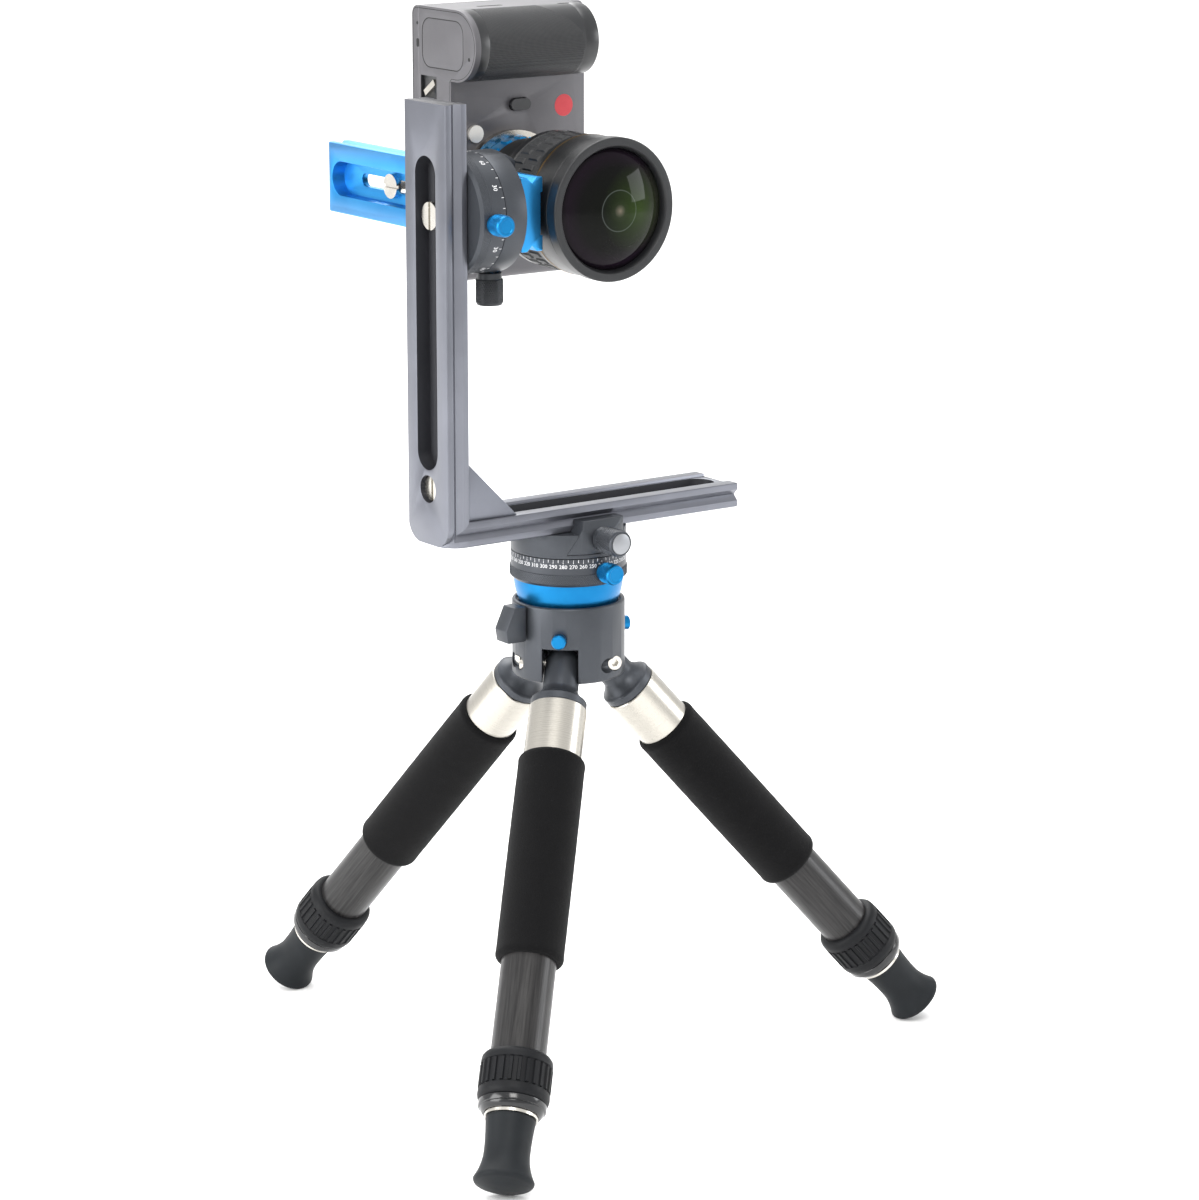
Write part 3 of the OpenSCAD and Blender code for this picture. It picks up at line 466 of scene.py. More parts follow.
def extruded(name, dark, light, roughness, along):
    """Extruded aluminium, anodised: satin metal with fine die lines along the bar, 0.5 mm apart."""
    material, tree, shader, place = start_finish(name, Metallic=0.85)
    mottle(tree, place, shader, dark, light, 30, roughness, 0.03)
    stretch = [per(0.5)] * 3
    stretch[along] = per(60)
    lines = add_node(tree, "ShaderNodeMapping", {"Vector": place, "Scale": stretch}).outputs[0]
    relief(tree, shader, noise(tree, lines, 1.0, 2.0), 0.01)
    return material


def sleeve_steel(leg):
    """Brushed stainless tube: bright, with hair lines around the tube, 0.25 mm apart along it."""
    material, tree, shader, place = start_finish(f"Brushed stainless steel {leg}", Metallic=1.0)
    down = joint_axis(f"leg_{leg}_extend")
    along = add_node(tree, "ShaderNodeVectorMath", {0: place, 1: down},
                     operation="DOT_PRODUCT").outputs["Value"]
    fine = calc(tree, "MULTIPLY", along, per(0.25))
    hair = add_node(tree, "ShaderNodeTexNoise", {"W": fine, "Scale": 1.0, "Detail": 3.0},
                    noise_dimensions="1D").outputs[0]
    wire(tree, shader, Base_Color=blend(tree, hair, linear("#A39F96"), linear("#CDC9C1")),
         Roughness=remap(tree, hair, (0.22, 0.34)))
    relief(tree, shader, hair, 0.008)
    return material


def foam():
    """Closed-cell neoprene foam: matt black, with pores about 0.8 mm apart and a soft sheen."""
    material, tree, shader, place = start_finish("Neoprene foam", Sheen_Weight=0.04, Sheen_Roughness=0.5,
                                                Specular_IOR_Level=0.1)
    mottle(tree, place, shader, "#070708", "#0E0E0F", 9, 0.9, 0.04)
    cells = add_node(tree, "ShaderNodeTexVoronoi", {"Vector": place, "Scale": per(0.8)}).outputs["Distance"]
    fuzz = noise(tree, place, per(0.5), 4.0)
    relief(tree, shader, calc(tree, "MULTIPLY_ADD", cells, 0.6, fuzz), 0.22, 0.9)
    return material


def carbon_fibre(leg):
    """Carbon fibre tube with a clear coat: dark grey with silky streaks along the tube, 1 mm apart,
    broken up where the fibres change tension."""
    material, tree, shader, place = start_finish(f"Carbon fibre tube {leg}", Coat_Weight=0.2, Metallic=0.15,
                                                Coat_Roughness=0.2, Specular_IOR_Level=0.25)
    turn = joint_axis(f"leg_{leg}_extend").rotation_difference(Z).to_euler()
    along = add_node(tree, "ShaderNodeMapping", {"Vector": place, "Rotation": turn}).outputs[0]
    squeezed = add_node(tree, "ShaderNodeMapping", {"Vector": along, "Scale": (per(1.1), per(1.1), per(26))})
    streak = add_node(tree, "ShaderNodeTexNoise", {
        "Vector": squeezed.outputs[0], "Scale": 1.0, "Detail": 5.0, "Roughness": 0.62}).outputs[0]
    tone = ramp(tree, streak, ((0.32, "#111011"), (0.72, "#2E2D2D")))
    wire(tree, shader, Base_Color=tone, Roughness=remap(tree, streak, (0.5, 0.3)))
    relief(tree, shader, streak, 0.02)
    return material


def ramp(tree, value, stops):
    """Colour that a value picks from a row of (position, hex) stops."""
    node = add_node(tree, "ShaderNodeValToRGB", {"Fac": value})
    points = node.color_ramp.elements
    while len(points) < len(stops):
        points.new(0.5)
    for point, (position, colour) in zip(points, stops):
        point.position = position
        point.color = linear(colour)
    return node.outputs[0]


def dimpled_rubber():
    """Grip rubber: matt black, moulded in rows of small pyramids 1.1 mm apart, and smooth past a curved line
    near the top plate. The pyramids carry painted highlights on their tips and painted shade in their hollows."""
    material, tree, shader, place = start_finish("Pyramid grip rubber", Specular_IOR_Level=0.4)
    across, deep, up = add_node(tree, "ShaderNodeSeparateXYZ", {"Vector": place}).outputs
    waves = []
    for sign in (1.0, -1.0):
        mixed = calc(tree, "MULTIPLY_ADD", across, sign, calc(tree, "ADD", deep, up))
        waves.append(calc(tree, "SINE", calc(tree, "MULTIPLY", mixed, 2 * math.pi * per(1.5))))
    bumps = calc(tree, "MULTIPLY", *waves)
    end, top, middle = high("grip_cover").x, high("grip_cover").z, mid("grip_cover").z
    bend = calc(tree, "POWER", remap(tree, up, source=(middle * MM, top * MM)), 2.0)
    line = calc(tree, "MULTIPLY_ADD", bend, 19 * MM, across)
    inside = remap(tree, line, (1.0, 0.0), ((end - 1.2) * MM, (end - 0.8) * MM))
    height = calc(tree, "MULTIPLY", bumps, inside)
    # painted highlights and painted shade: colour follows the pyramids' height, lighter on their tips and
    # darker in their hollows
    tone = blend(tree, remap(tree, height, source=(-1.0, 1.0)), linear("#121315"), linear("#2B2C2E"))
    wire(tree, shader, Base_Color=tone, Roughness=remap(tree, inside, (0.38, 0.58)))
    relief(tree, shader, height, 0.14)
    return material


def glass_with_painted_reflections(name, gloss):
    """Optical glass with an anti-reflection film: almost black, with few reflections. Its colour holds painted
    reflections: a pale centre, green beside the middle, violet towards the rim, and a thin lighter ring where
    the edge of the inner group shows."""
    material, tree, shader, place = start_finish(name, Roughness=0.05, Specular_IOR_Level=gloss)
    at, unit = mid("lens_elements"), per(half_width("lens_elements"))
    painted_reflections = []
    # painted reflections: a pale centre, a thin lighter ring at the inner group's edge and violet towards the
    # rim, then a green patch 13 mm beside the middle
    for shift, stops in (
            (0, ((0.0, "#5A5048"), (0.05, "#3E3A35"), (0.11, "#141612"), (0.2, "#0A0D09"), (0.325, "#0B0E0B"),
                 (0.334, "#343836"), (0.342, "#343836"), (0.35, "#080A07"), (0.7, "#090909"), (0.9, "#130C14"),
                 (1.0, "#0A080B"))),
            (13, ((0.0, "#1F2E08"), (0.35, "#141E06"), (0.75, "#000000"), (1.0, "#000000")))):
        flat = add_node(tree, "ShaderNodeMapping", {
            "Vector": place, "Scale": [unit, 0, unit],
            "Location": [-(at.x + shift) * MM * unit, 0, -at.z * MM * unit]}).outputs[0]
        away = add_node(tree, "ShaderNodeVectorMath", {0: flat}, operation="LENGTH").outputs["Value"]
        painted_reflections.append(ramp(tree, away, stops))
    wire(tree, shader, Base_Color=blend(tree, 1.0, *painted_reflections, blend_type="ADD"))
    return material


FINISHES = {}


def make_finishes():
    looks = bpy.context.scene.panorama_colours
    FINISHES.update(
        grey=anodised("Bead-blasted grey anodised aluminium", looks.grey, "#42454A", 0.42, 0.6),
        black=anodised("Bead-blasted black anodised aluminium", "#2A2C2F", "#36383B", 0.42, 0.6),
        rail=extruded("Extruded slate anodised aluminium", looks.rail, "#797B83", 0.34, 2),
        rail_flat=extruded("Extruded slate anodised aluminium, level bar", looks.rail, "#797B83", 0.34, 0),
        # painted shade: the walls inside the rails' slots are the rails' own metal, drawn dark for the shade
        # that falls in the slot
        slot=anodised("Painted shade on slot wall", "#17181D", "#1F2026", 0.5, 0.3),
        blue=anodised("Blue anodised aluminium", looks.blue, "#1477AC", 0.36, 0.85),
        blue_rail=extruded("Extruded blue anodised aluminium", "#1F7CBC", "#3A97D4", 0.34, 1),
        steel=turned_steel("Turned stainless steel", "#D8D5CE", "#B6B2AA", 0.26),
        chrome=turned_steel("Satin chrome", "#D4D0C8", "#B8B3AA", 0.2),
        foam=foam(),
        lock_rubber=moulded("Moulded lock rubber", "#0E0F10", "#16171A", 0.5, 0.5, 0.02,
                            Specular_IOR_Level=0.15),
        gloss=moulded("Polished black nylon", "#101113", "#17181A", 0.18, 1.2, 0.004, Specular_IOR_Level=0.5),
        foot=moulded("Moulded foot rubber", "#17191B", "#1F2225", 0.5, 0.7, 0.02, Specular_IOR_Level=0.12),
        body=moulded("Textured body paint", looks.body, "#5F5E61", 0.48, 0.45, 0.02, Metallic=0.5),
        dark_band=moulded("Smooth black paint", "#161719", "#1E1F21", 0.32, 0.6, 0.01),
        plastic=moulded("Moulded black plastic", "#1C1D1F", "#26272A", 0.45, 0.5, 0.015),
        grip=dimpled_rubber(),
        lens_black=anodised("Black anodised lens barrel", "#0E0F10", "#151618", 0.36, 0.25),
        lens_rim=anodised("Black anodised lens rim", "#1A1B1D", "#222325", 0.42, 0.3),
        lens_rubber=moulded("Ribbed focus rubber", "#141517", "#1E1F21", 0.55, 0.6, 0.02),
        baffle=moulded("Flat black baffle paint", "#060607", "#0B0B0C", 0.75, 0.5, 0.02),
        gold=anodised("Gold anodised ring", "#6E5528", "#846735", 0.3, 1.0),
        # painted reflections of the lens coatings in the front glass's colour
        front_glass=glass_with_painted_reflections("Front glass with painted reflections", 0.08),
        sensor=moulded("Sensor filter glass", "#141A16", "#1B221D", 0.1, 20, 0.001, Specular_IOR_Level=0.3),
        screen=moulded("Hardened screen glass", "#08090B", "#0C0D10", 0.06, 30, 0.001, Specular_IOR_Level=0.4),
        red=printed("Red enamel", "#A8202C", "#B8343C"),
        paint=printed("White scale paint", "#CFD0D2", "#E6E6E8"),
        button=turned_steel("Satin nickel button", "#F2EFE9", "#DAD6CF", 0.5),
        block=anodised("Milled slate anodised aluminium", looks.rail, "#7A7D86", 0.4),
        pale=anodised("Pale anodised aluminium", "#85878A", "#9A9CA0", 0.4),
    )


# ---- settings

def hue(name, thing, default):
    return StringProperty(name=name, description=f"Colour of {thing}", default=default)


def length(name, thing, default):
    return FloatProperty(name=name, description=f"{thing}, in mm", default=default)


def angle(name, thing, degrees):
    return FloatProperty(name=name, description=thing, default=math.radians(degrees), subtype="ANGLE")


class PanoramaColours(bpy.types.PropertyGroup):
    grey: hue("Hub grey", "the hub and the rotators", "#36393E")
    rail: hue("Bracket slate", "the L bracket", "#64666D")
    blue: hue("Blue parts", "the anodised blue parts", "#0A6299")
    body: hue("Camera body", "the camera's paint", "#525154")


class TripodSizes(bpy.types.PropertyGroup):
    knuckle_r: length("Head radius", "Radius of the leg head's round end", 9.4)
    flange_r: length("Flange radius", "Radius of the leg head's flange", 14.8)
    sleeve_at: length("Sleeve", "Hinge to the silver sleeve", 27.0)
    sleeve_len: length("Sleeve length", "Length of the silver sleeve", 29.0)
    sleeve_r: length("Sleeve radius", "Radius of the silver sleeve", 15.3)
    foam_len: length("Foam length", "Length of the foam grip", 115.0)
    foam_r: length("Foam radius", "Radius of the foam grip", 17.7)
    tube_r: length("Tube radius", "Radius of the outer leg tube", 14.2)
    lock_at: length("Lock", "Hinge to the twist lock", 222.5)
    lock_len: length("Lock length", "Length of the lock's rubber cover", 25.0)
    lock_r: length("Lock radius", "Radius of the lock's rubber cover", 18.5)
    lock_ribs: IntProperty(name="Lock ribs", description="Ribs round each twist lock", default=26)
    foot_len: length("Foot length", "Foot's top to the middle of its edge", 32.5)
    foot_r: length("Foot radius", "Largest radius of the foot", 15.5)


class CameraSizes(bpy.types.PropertyGroup):
    focal: length("Focal length", "Focal length of the view's camera", 123.82)
    distance: length("Distance", "Level distance to the panning axis", 2130.4)
    rise: length("Rise", "Camera above the bracket's level rail", 454.6)
    aside: length("Aside", "Camera to the right of the panning axis", 16.5)
    turn: angle("Turn", "Direction of view seen from above", 35.4)
    pitch: angle("Pitch", "Downward pitch of the view", 13.45)


# ---- operators

class MakeStage(bpy.types.Operator):
    """Pale floor, soft studio lights and the camera."""
    bl_idname = "panorama.stage"
    bl_label = "Stage"

    def execute(self, context):
        view = context.scene.panorama_camera
        bm = bmesh.new()
        half, near, back, lift, bend = 9.0, -8.0, 7.0, 9.0, 3.0
        sweep = [(near, 0.0), (back - bend, 0.0)]
        for turn in (t * math.pi / 16 for t in range(1, 9)):
            sweep.append((back - bend + bend * math.sin(turn), bend - bend * math.cos(turn)))
        sweep.append((back, lift))
        away = Vector((math.sin(view.turn), math.cos(view.turn), 0))
        side = Vector((math.cos(view.turn), -math.sin(view.turn), 0))
        rows = [[bm.verts.new(away * d + side * s + Z * h) for s in (-half, half)] for d, h in sweep]
        for a, b in zip(rows, rows[1:]):
            bm.faces.new((a[0], a[1], b[1], b[0]))
        floor = mesh_piece("Floor", bm)
        pale, tree, shader, place = start_finish("Pale painted floor", Specular_IOR_Level=0.1)
        mottle(tree, place, shader, "#F8F8F8", "#FDFDFD", 300, 0.85, 0.02)
        floor.data.materials.append(pale)
        world = bpy.data.worlds.new("Studio")
        world.use_nodes = True
        world.node_tree.nodes["Background"].inputs[0].default_value = linear("#FFFFFF")
        world.node_tree.nodes["Background"].inputs[1].default_value = 1.05
        context.scene.world = world
        aim = Vector((0, 0, 0.3))
        lights = (
            ("Left bank", (-2.6, 0.3, 0.9), 1.7, 62, "#FFFFFF"), ("Key", (-1.2, -1.9, 2.2), 1.1, 40, "#FFFDFA"),
            ("Right strip", (2.2, -1.3, 0.8), 0.9, 16, "#FBFDFF"), ("Top", (0.1, 0.3, 2.7), 1.6, 46, "#FFFFFF"),
            ("Floor wash", (0.9, 3.4, 3.2), 3.0, 120, "#FFFFFF"))
        for name, spot, size, power, colour in lights:
            data = bpy.data.lights.new(name, "AREA")
            data.size = size
            data.energy = power
            data.color = linear(colour)[:3]
            lamp = bpy.data.objects.new(name, data)
            lamp.location = spot
            lamp.rotation_euler = (Vector(spot) - aim).to_track_quat("Z", "Y").to_euler()
            context.scene.collection.objects.link(lamp)
        data = bpy.data.cameras.new("View")
        data.lens = view.focal
        data.sensor_width = 36
        data.clip_end = 60
        camera = bpy.data.objects.new("View", data)
        camera.location = (side * view.aside - away * view.distance) * MM
        camera.location.z = high("horizontal_rail").z * MM + view.rise * MM
        camera.rotation_euler = (math.pi / 2 - view.pitch, 0, -view.turn)
        context.scene.collection.objects.link(camera)
        context.scene.camera = camera
        context.scene.view_settings.view_transform = "Standard"
        return {"FINISHED"}


class PaintFrame(bpy.types.Operator):
    """Finishes for the CAD nodes whose shapes stay."""
    bl_idname = "panorama.paint"
    bl_label = "Paint the plain parts"

    def execute(self, context):
        make_finishes()
        looks = {
            "grey": ["hub_housing", "brake_lever", "brake_cup", "pan_base", "pan_clamp", "pan_jaw",
                     "pan_jaw_knob", "corner_block", "tilt_base", "tilt_clamp"],
            "steel": ["hinge_pins", "corner_screws", "slot_screw", "rail_screws"],
            "blue": ["level_ball", "pan_lock_knob", "tilt_lock_knob", "tilt_jaw", "lens_adapter"],
            "rail_flat": ["horizontal_rail"], "rail": ["vertical_rail"], "blue_rail": ["camera_rail"],
            "black": ["tilt_jaw_knob"], "body": ["front_shell", "rear_shell", "mode_dial", "viewfinder"],
            "grip": ["grip_cover"], "plastic": ["battery", "function_button"], "button": ["lens_release"],
            "chrome": ["battery_lever", "mount_ring", "shutter_button"], "screen": ["screen"],
            "sensor": ["image_sensor"], "lens_black": ["lens_barrel"], "front_glass": ["lens_elements"],
            "lens_rubber": ["focus_ring"], "foam": [], "lock_rubber": [], "foot": []}
        for leg in LEGS:
            FINISHES[f"carbon_{leg}"] = carbon_fibre(leg)
            FINISHES[f"sleeve_{leg}"] = sleeve_steel(leg)
            for finish, node in (("blue", "stop_button"), ("grey", "leg_head"), ("foam", "foam_grip"),
                                 ("lock_rubber", "twist_lock"), ("steel", "inner_tube"), ("foot", "foot")):
                looks[finish].append(f"{node}_{leg}")
            looks[f"carbon_{leg}"] = [f"leg_tube_{leg}"]
        for finish, nodes in looks.items():
            for node in nodes:
                slots = frame["nodes"][node].data.materials
                slots.clear()
                slots.append(FINISHES[finish])
        return {"FINISHED"}


class MakeLegs(bpy.types.Operator):
    """Leg heads, silver sleeves, foam grips, twist locks and feet."""
    bl_idname = "panorama.legs"
    bl_label = "Legs"

    def execute(self, context):
        size = context.scene.panorama_tripod
        for leg in LEGS:
            place = leg_frame(leg)
            body = f"leg_{leg}"
            self.head(size, leg, place, body)
            start, end, r = size.sleeve_at, size.sleeve_at + size.sleeve_len, size.sleeve_r
            sleeve = [(size.tube_r, start), (r - 0.4, start), (r, start + 0.4), (r, end), (size.tube_r, end)]
            turned(f"sleeve_{leg}", sleeve, place, body, f"sleeve_{leg}")
            self.grip(size, leg, place, body, end)
            self.lock(size, leg, place)
            self.foot(size, leg, place)
        return {"FINISHED"}

    def head(self, size, leg, place, body):
        """Round hinge end that flares to a flange over the silver sleeve."""
        r, flare, rim = size.knuckle_r, size.sleeve_at - 11.5, size.flange_r
        profile = fillet(0, 0, r, -90, 0, 14) + [(r, flare)]
        profile += [(r + (rim - 0.9 - r) * (t / 10) ** 1.7, flare + 6.6 * t / 10) for t in range(1, 11)]
        profile += [(rim - 0.5, flare + 6.8), (rim, flare + 7.4), (rim, size.sleeve_at - 0.6),
                    (rim - 0.5, size.sleeve_at), (0, size.sleeve_at)]
        turned(f"turned_head_{leg}", profile, place, body, "grey", f"leg_head_{leg}")

    def grip(self, size, leg, place, body, start):
        """Foam tube with soft rounded ends and slight swelling between them."""
        rows, soft, end = 58, 3.2, start + size.foam_len
        bore, r = size.tube_r + 0.02, size.foam_r
        profile = [(bore, start)] + fillet(r - soft, start + soft, soft, -90, 0)
        for i in range(1, rows):
            t = i / rows
            wave = 0.12 * math.sin(math.pi * t) - 0.05 * math.sin(math.pi * 7 * t) ** 2
            profile.append((r - 0.12 + wave, start + soft + (size.foam_len - 2 * soft) * t))
        profile += fillet(r - soft, end - soft, soft, 0, 90) + [(bore, end)]
        obj = turned(f"foam_{leg}", profile, place, body, "foam", f"foam_grip_{leg}", turns=72, closed=True,
                     degrees=60)

    def lock(self, size, leg, place):
        """Rubber cover with rounded shoulders, ribs round its middle, and the gloss nut below."""
        body = f"lock_{leg}"
        top, bottom, r = size.lock_at, size.lock_at + size.lock_len, size.lock_r
        inner = size.tube_r + 0.08
        cover = [(inner, top)] + offset(r, top, (-3.2, 0), (-1.6, 0.5), (-0.5, 2.0), (-0.25, 3.6), (-0.2, 5.4),
                                        (-0.9, 6.0))
        cover += offset(r, bottom, (-0.9, -6.2), (-0.2, -5.6), (-0.1, -3.0), (-0.5, -1.2), (-1.3, -0.2),
                        (-1.8, 0))
        cover.append((inner, bottom))
        turned(f"lock_cover_{leg}", cover, place, body, "lock_rubber", f"twist_lock_{leg}", closed=True,
               degrees=40)
        ribs(f"lock_ribs_{leg}", block(-1.3, 0.9, -1.45, 1.45, top + 5.6, bottom - 5.8, 0.75), place, body,
             "lock_rubber", size.lock_ribs, r - 0.95)
        bore, n = 12.7, 17.3
        nut = [(bore, bottom)] + offset(n, bottom, (-0.4, 0), (0, 0.4), (0, 3.0), (-0.2, 3.4), (-0.9, 3.6),
                                        (-1.0, 4.2), (-2.3, 6.1), (-2.7, 6.4)) + [(bore, bottom + 6.5)]
        turned(f"lock_nut_{leg}", nut, place, body, "gloss", closed=True)

    def foot(self, size, leg, place):
        """Waisted rubber foot with a rounded edge and a shallow pointed sole."""
        top = leg_foot_station(leg)
        body = f"lower_leg_{leg}"
        neck, wide, edge = 11.7, size.foot_r, 2.5
        profile = [(0, top), (12.4, top), (12.75, top + 0.35)]
        for i in range(1, 25):
            t = i / 24
            if t < 0.55:
                r = neck + 1.2 * (1 - t / 0.55) ** 2
            else:
                r = neck + (wide - neck) * ((t - 0.55) / 0.45) ** 2
            profile.append((r, top + size.foot_len * t))
        profile += fillet(wide - edge, top + size.foot_len, edge, 6, 68, 8)
        profile += [(9.0, top + size.foot_len + 4.1), (0, top + size.foot_len + 6.5)]
        turned(f"rubber_foot_{leg}", profile, place, body, "foot", f"foot_{leg}")


class MakeRotators(bpy.types.Operator):
    """Knurled bands, scales and numbers of both rotators."""
    bl_idname = "panorama.rotators"
    bl_label = "Rotators and knobs"

    def execute(self, context):
        pan, tilt, pan_r, tilt_r = pan_frame(), tilt_frame(), 30.6, 31.3
        self.knurled("pan", pan, "ball", pan_r)
        self.knurled("tilt", tilt, "tilt_carriage", tilt_r)
        self.ticks("pan_ticks", pan, "ball", pan_r, 72, 13.4)
        self.ticks("pan_long_ticks", pan, "ball", pan_r, 36, 12.8)
        compass = [(str((510 - 10 * i) % 360), 10.0 * i) for i in range(36)]
        numbers("pan_numbers", compass, pan_r, 10.2, 2.9, pan, "ball")
        self.ticks("tilt_ticks", tilt, "tilt_carriage", tilt_r, 36, 13.5)
        slopes = [(str(90 - abs(90 - 30 * i % 180)), 30.0 * i) for i in range(12)]
        numbers("tilt_numbers", slopes, tilt_r, 9.9, 3.5, tilt, "tilt_carriage")
        return {"FINISHED"}

    def knurled(self, name, place, body, r):
        """Crossed knurl round the foot of a base, in seven rows of small teeth."""
        count, rows, step = 156, 7, 0.72
        ribs(f"{name}_knurl", diamond(1.25, step, 0.5), place @ Matrix.Translation((0, 0, 1.9)), body, "grey",
             count, r + 0.12, rows, step, 180.0 / count, degrees=25)

    def ticks(self, name, place, body, r, count, start):
        """Painted lines that end at the seam of a rotator."""
        seam = 14.85
        ribs(name, block(-0.2, 0.05, -0.13, 0.13, start, seam), place, body, "paint", count, r)


def numbers(name, labels, r, height, size, place, body):
    """Numbers printed round a cylinder, upright along its axis and wrapped on its surface."""
    joined = bmesh.new()
    for text, angle in labels:
        curve = bpy.data.curves.new(name, "FONT")
        curve.body = text
        curve.size = size
        curve.align_x = "CENTER"
        curve.resolution_u = 2
        holder = bpy.data.objects.new(name, curve)
        bpy.context.scene.collection.objects.link(holder)
        bpy.context.view_layer.update()
        mesh = bpy.data.meshes.new_from_object(holder)
        start = len(joined.verts)
        joined.from_mesh(mesh)
        joined.verts.ensure_lookup_table()
        for vert in joined.verts[start:]:
            turn = math.radians(angle) + vert.co.x / r
            vert.co = Vector((math.cos(turn) * (r + 0.04), math.sin(turn) * (r + 0.04), height + vert.co.y))
        bpy.data.objects.remove(holder)
        bpy.data.curves.remove(curve)
        bpy.data.meshes.remove(mesh)
    finished(mesh_piece(name, joined, place), body, "paint")


def knob(node, place, body, finish, r, start, end, tooth, cap):
    """Round knob along +Z with a broken edge, a crossed knurl and a smooth collar at its start."""
    name, collar, edge, length = f"{node}_grip", 0.22 * (end - start), 0.8, 0.78 * (end - start)
    lip, drop = (2.0, 0.25) if cap is None else (1.5, 0.3)
    inner = lip + (0.3 if cap is None else 0.1)
    profile = [(0, start), (r - 1.2, start), (r - 0.9, start + 0.3), (r - 0.9, start + collar - 0.4),
               (r - 0.5, start + collar), (r - 0.35, end - edge - 0.6), (r - 0.35, end - edge - 0.4),
               (r - 0.35 - edge / 2, end - 0.25), (r - 0.35 - edge, end), (r - lip, end),
               (r - inner, end - drop), (0, end - drop)]
    turned(name, profile, place, body, finish, node, turns=72)
    count = int(2 * math.pi * r / tooth)
    length -= edge + 0.6
    rows = int(length / tooth)
    step = length / rows
    first = place @ Matrix.Translation((0, 0, start + collar + step / 2))
    ribs(f"{name}_knurl", diamond(tooth, step, 0.42 * tooth), first, body, finish, count, r - 0.45, rows, step,
         180.0 / count, degrees=25)
    if cap is not None:
        face = [(0, end - 0.35)] + offset(r, end, (-1.75, -0.35), (-1.85, 0.1), (-2.1, 0.25)) + [(0, end + 0.3)]
        turned(f"{name}_cap", face, place, body, cap, turns=64)


def diamond(width, height, proud):
    """Four-sided pyramid whose base lies on the Y-Z plane; a knurl's single tooth."""
    bm = bmesh.new()
    corners = ((-width / 2, 0), (0, -height), (width / 2, 0), (0, height))
    base = [bm.verts.new((-0.15, y, z)) for y, z in corners]
    tip = bm.verts.new((proud, 0, 0))
    for i in range(4):
        bm.faces.new((base[(i + 1) % 4], base[i], tip))
    bm.faces.new(base)
    return bm


class MakeKnobs(bpy.types.Operator):
    """Lock knobs and jaw knobs of both rotators."""
    bl_idname = "panorama.knobs"
    bl_label = "Knobs"

    def execute(self, context):
        for node, body, direction, finish, cap in (
                ("pan_lock_knob", "pan_lock", 1, "blue", None),
                ("tilt_lock_knob", "tilt_lock", 1, "blue", None),
                ("pan_jaw_knob", "pan_screw", 1, "grey", "pale"),
                ("tilt_jaw_knob", "tilt_screw", 2, "black", None)):
            at, tip = mid(node), -low(node)[direction]
            if direction == 1:
                place = axes((at.x, 0, at.z), X, Z, -Y)
            else:
                place = axes((at.x, at.y, 0), X, -Y, -Z)
            length, tooth = (11.0, 0.7) if "lock" in node else (17.0, 0.95)
            knob(node, place, body, finish, half_width(node), tip - length, tip, tooth, cap)
        return {"FINISHED"}


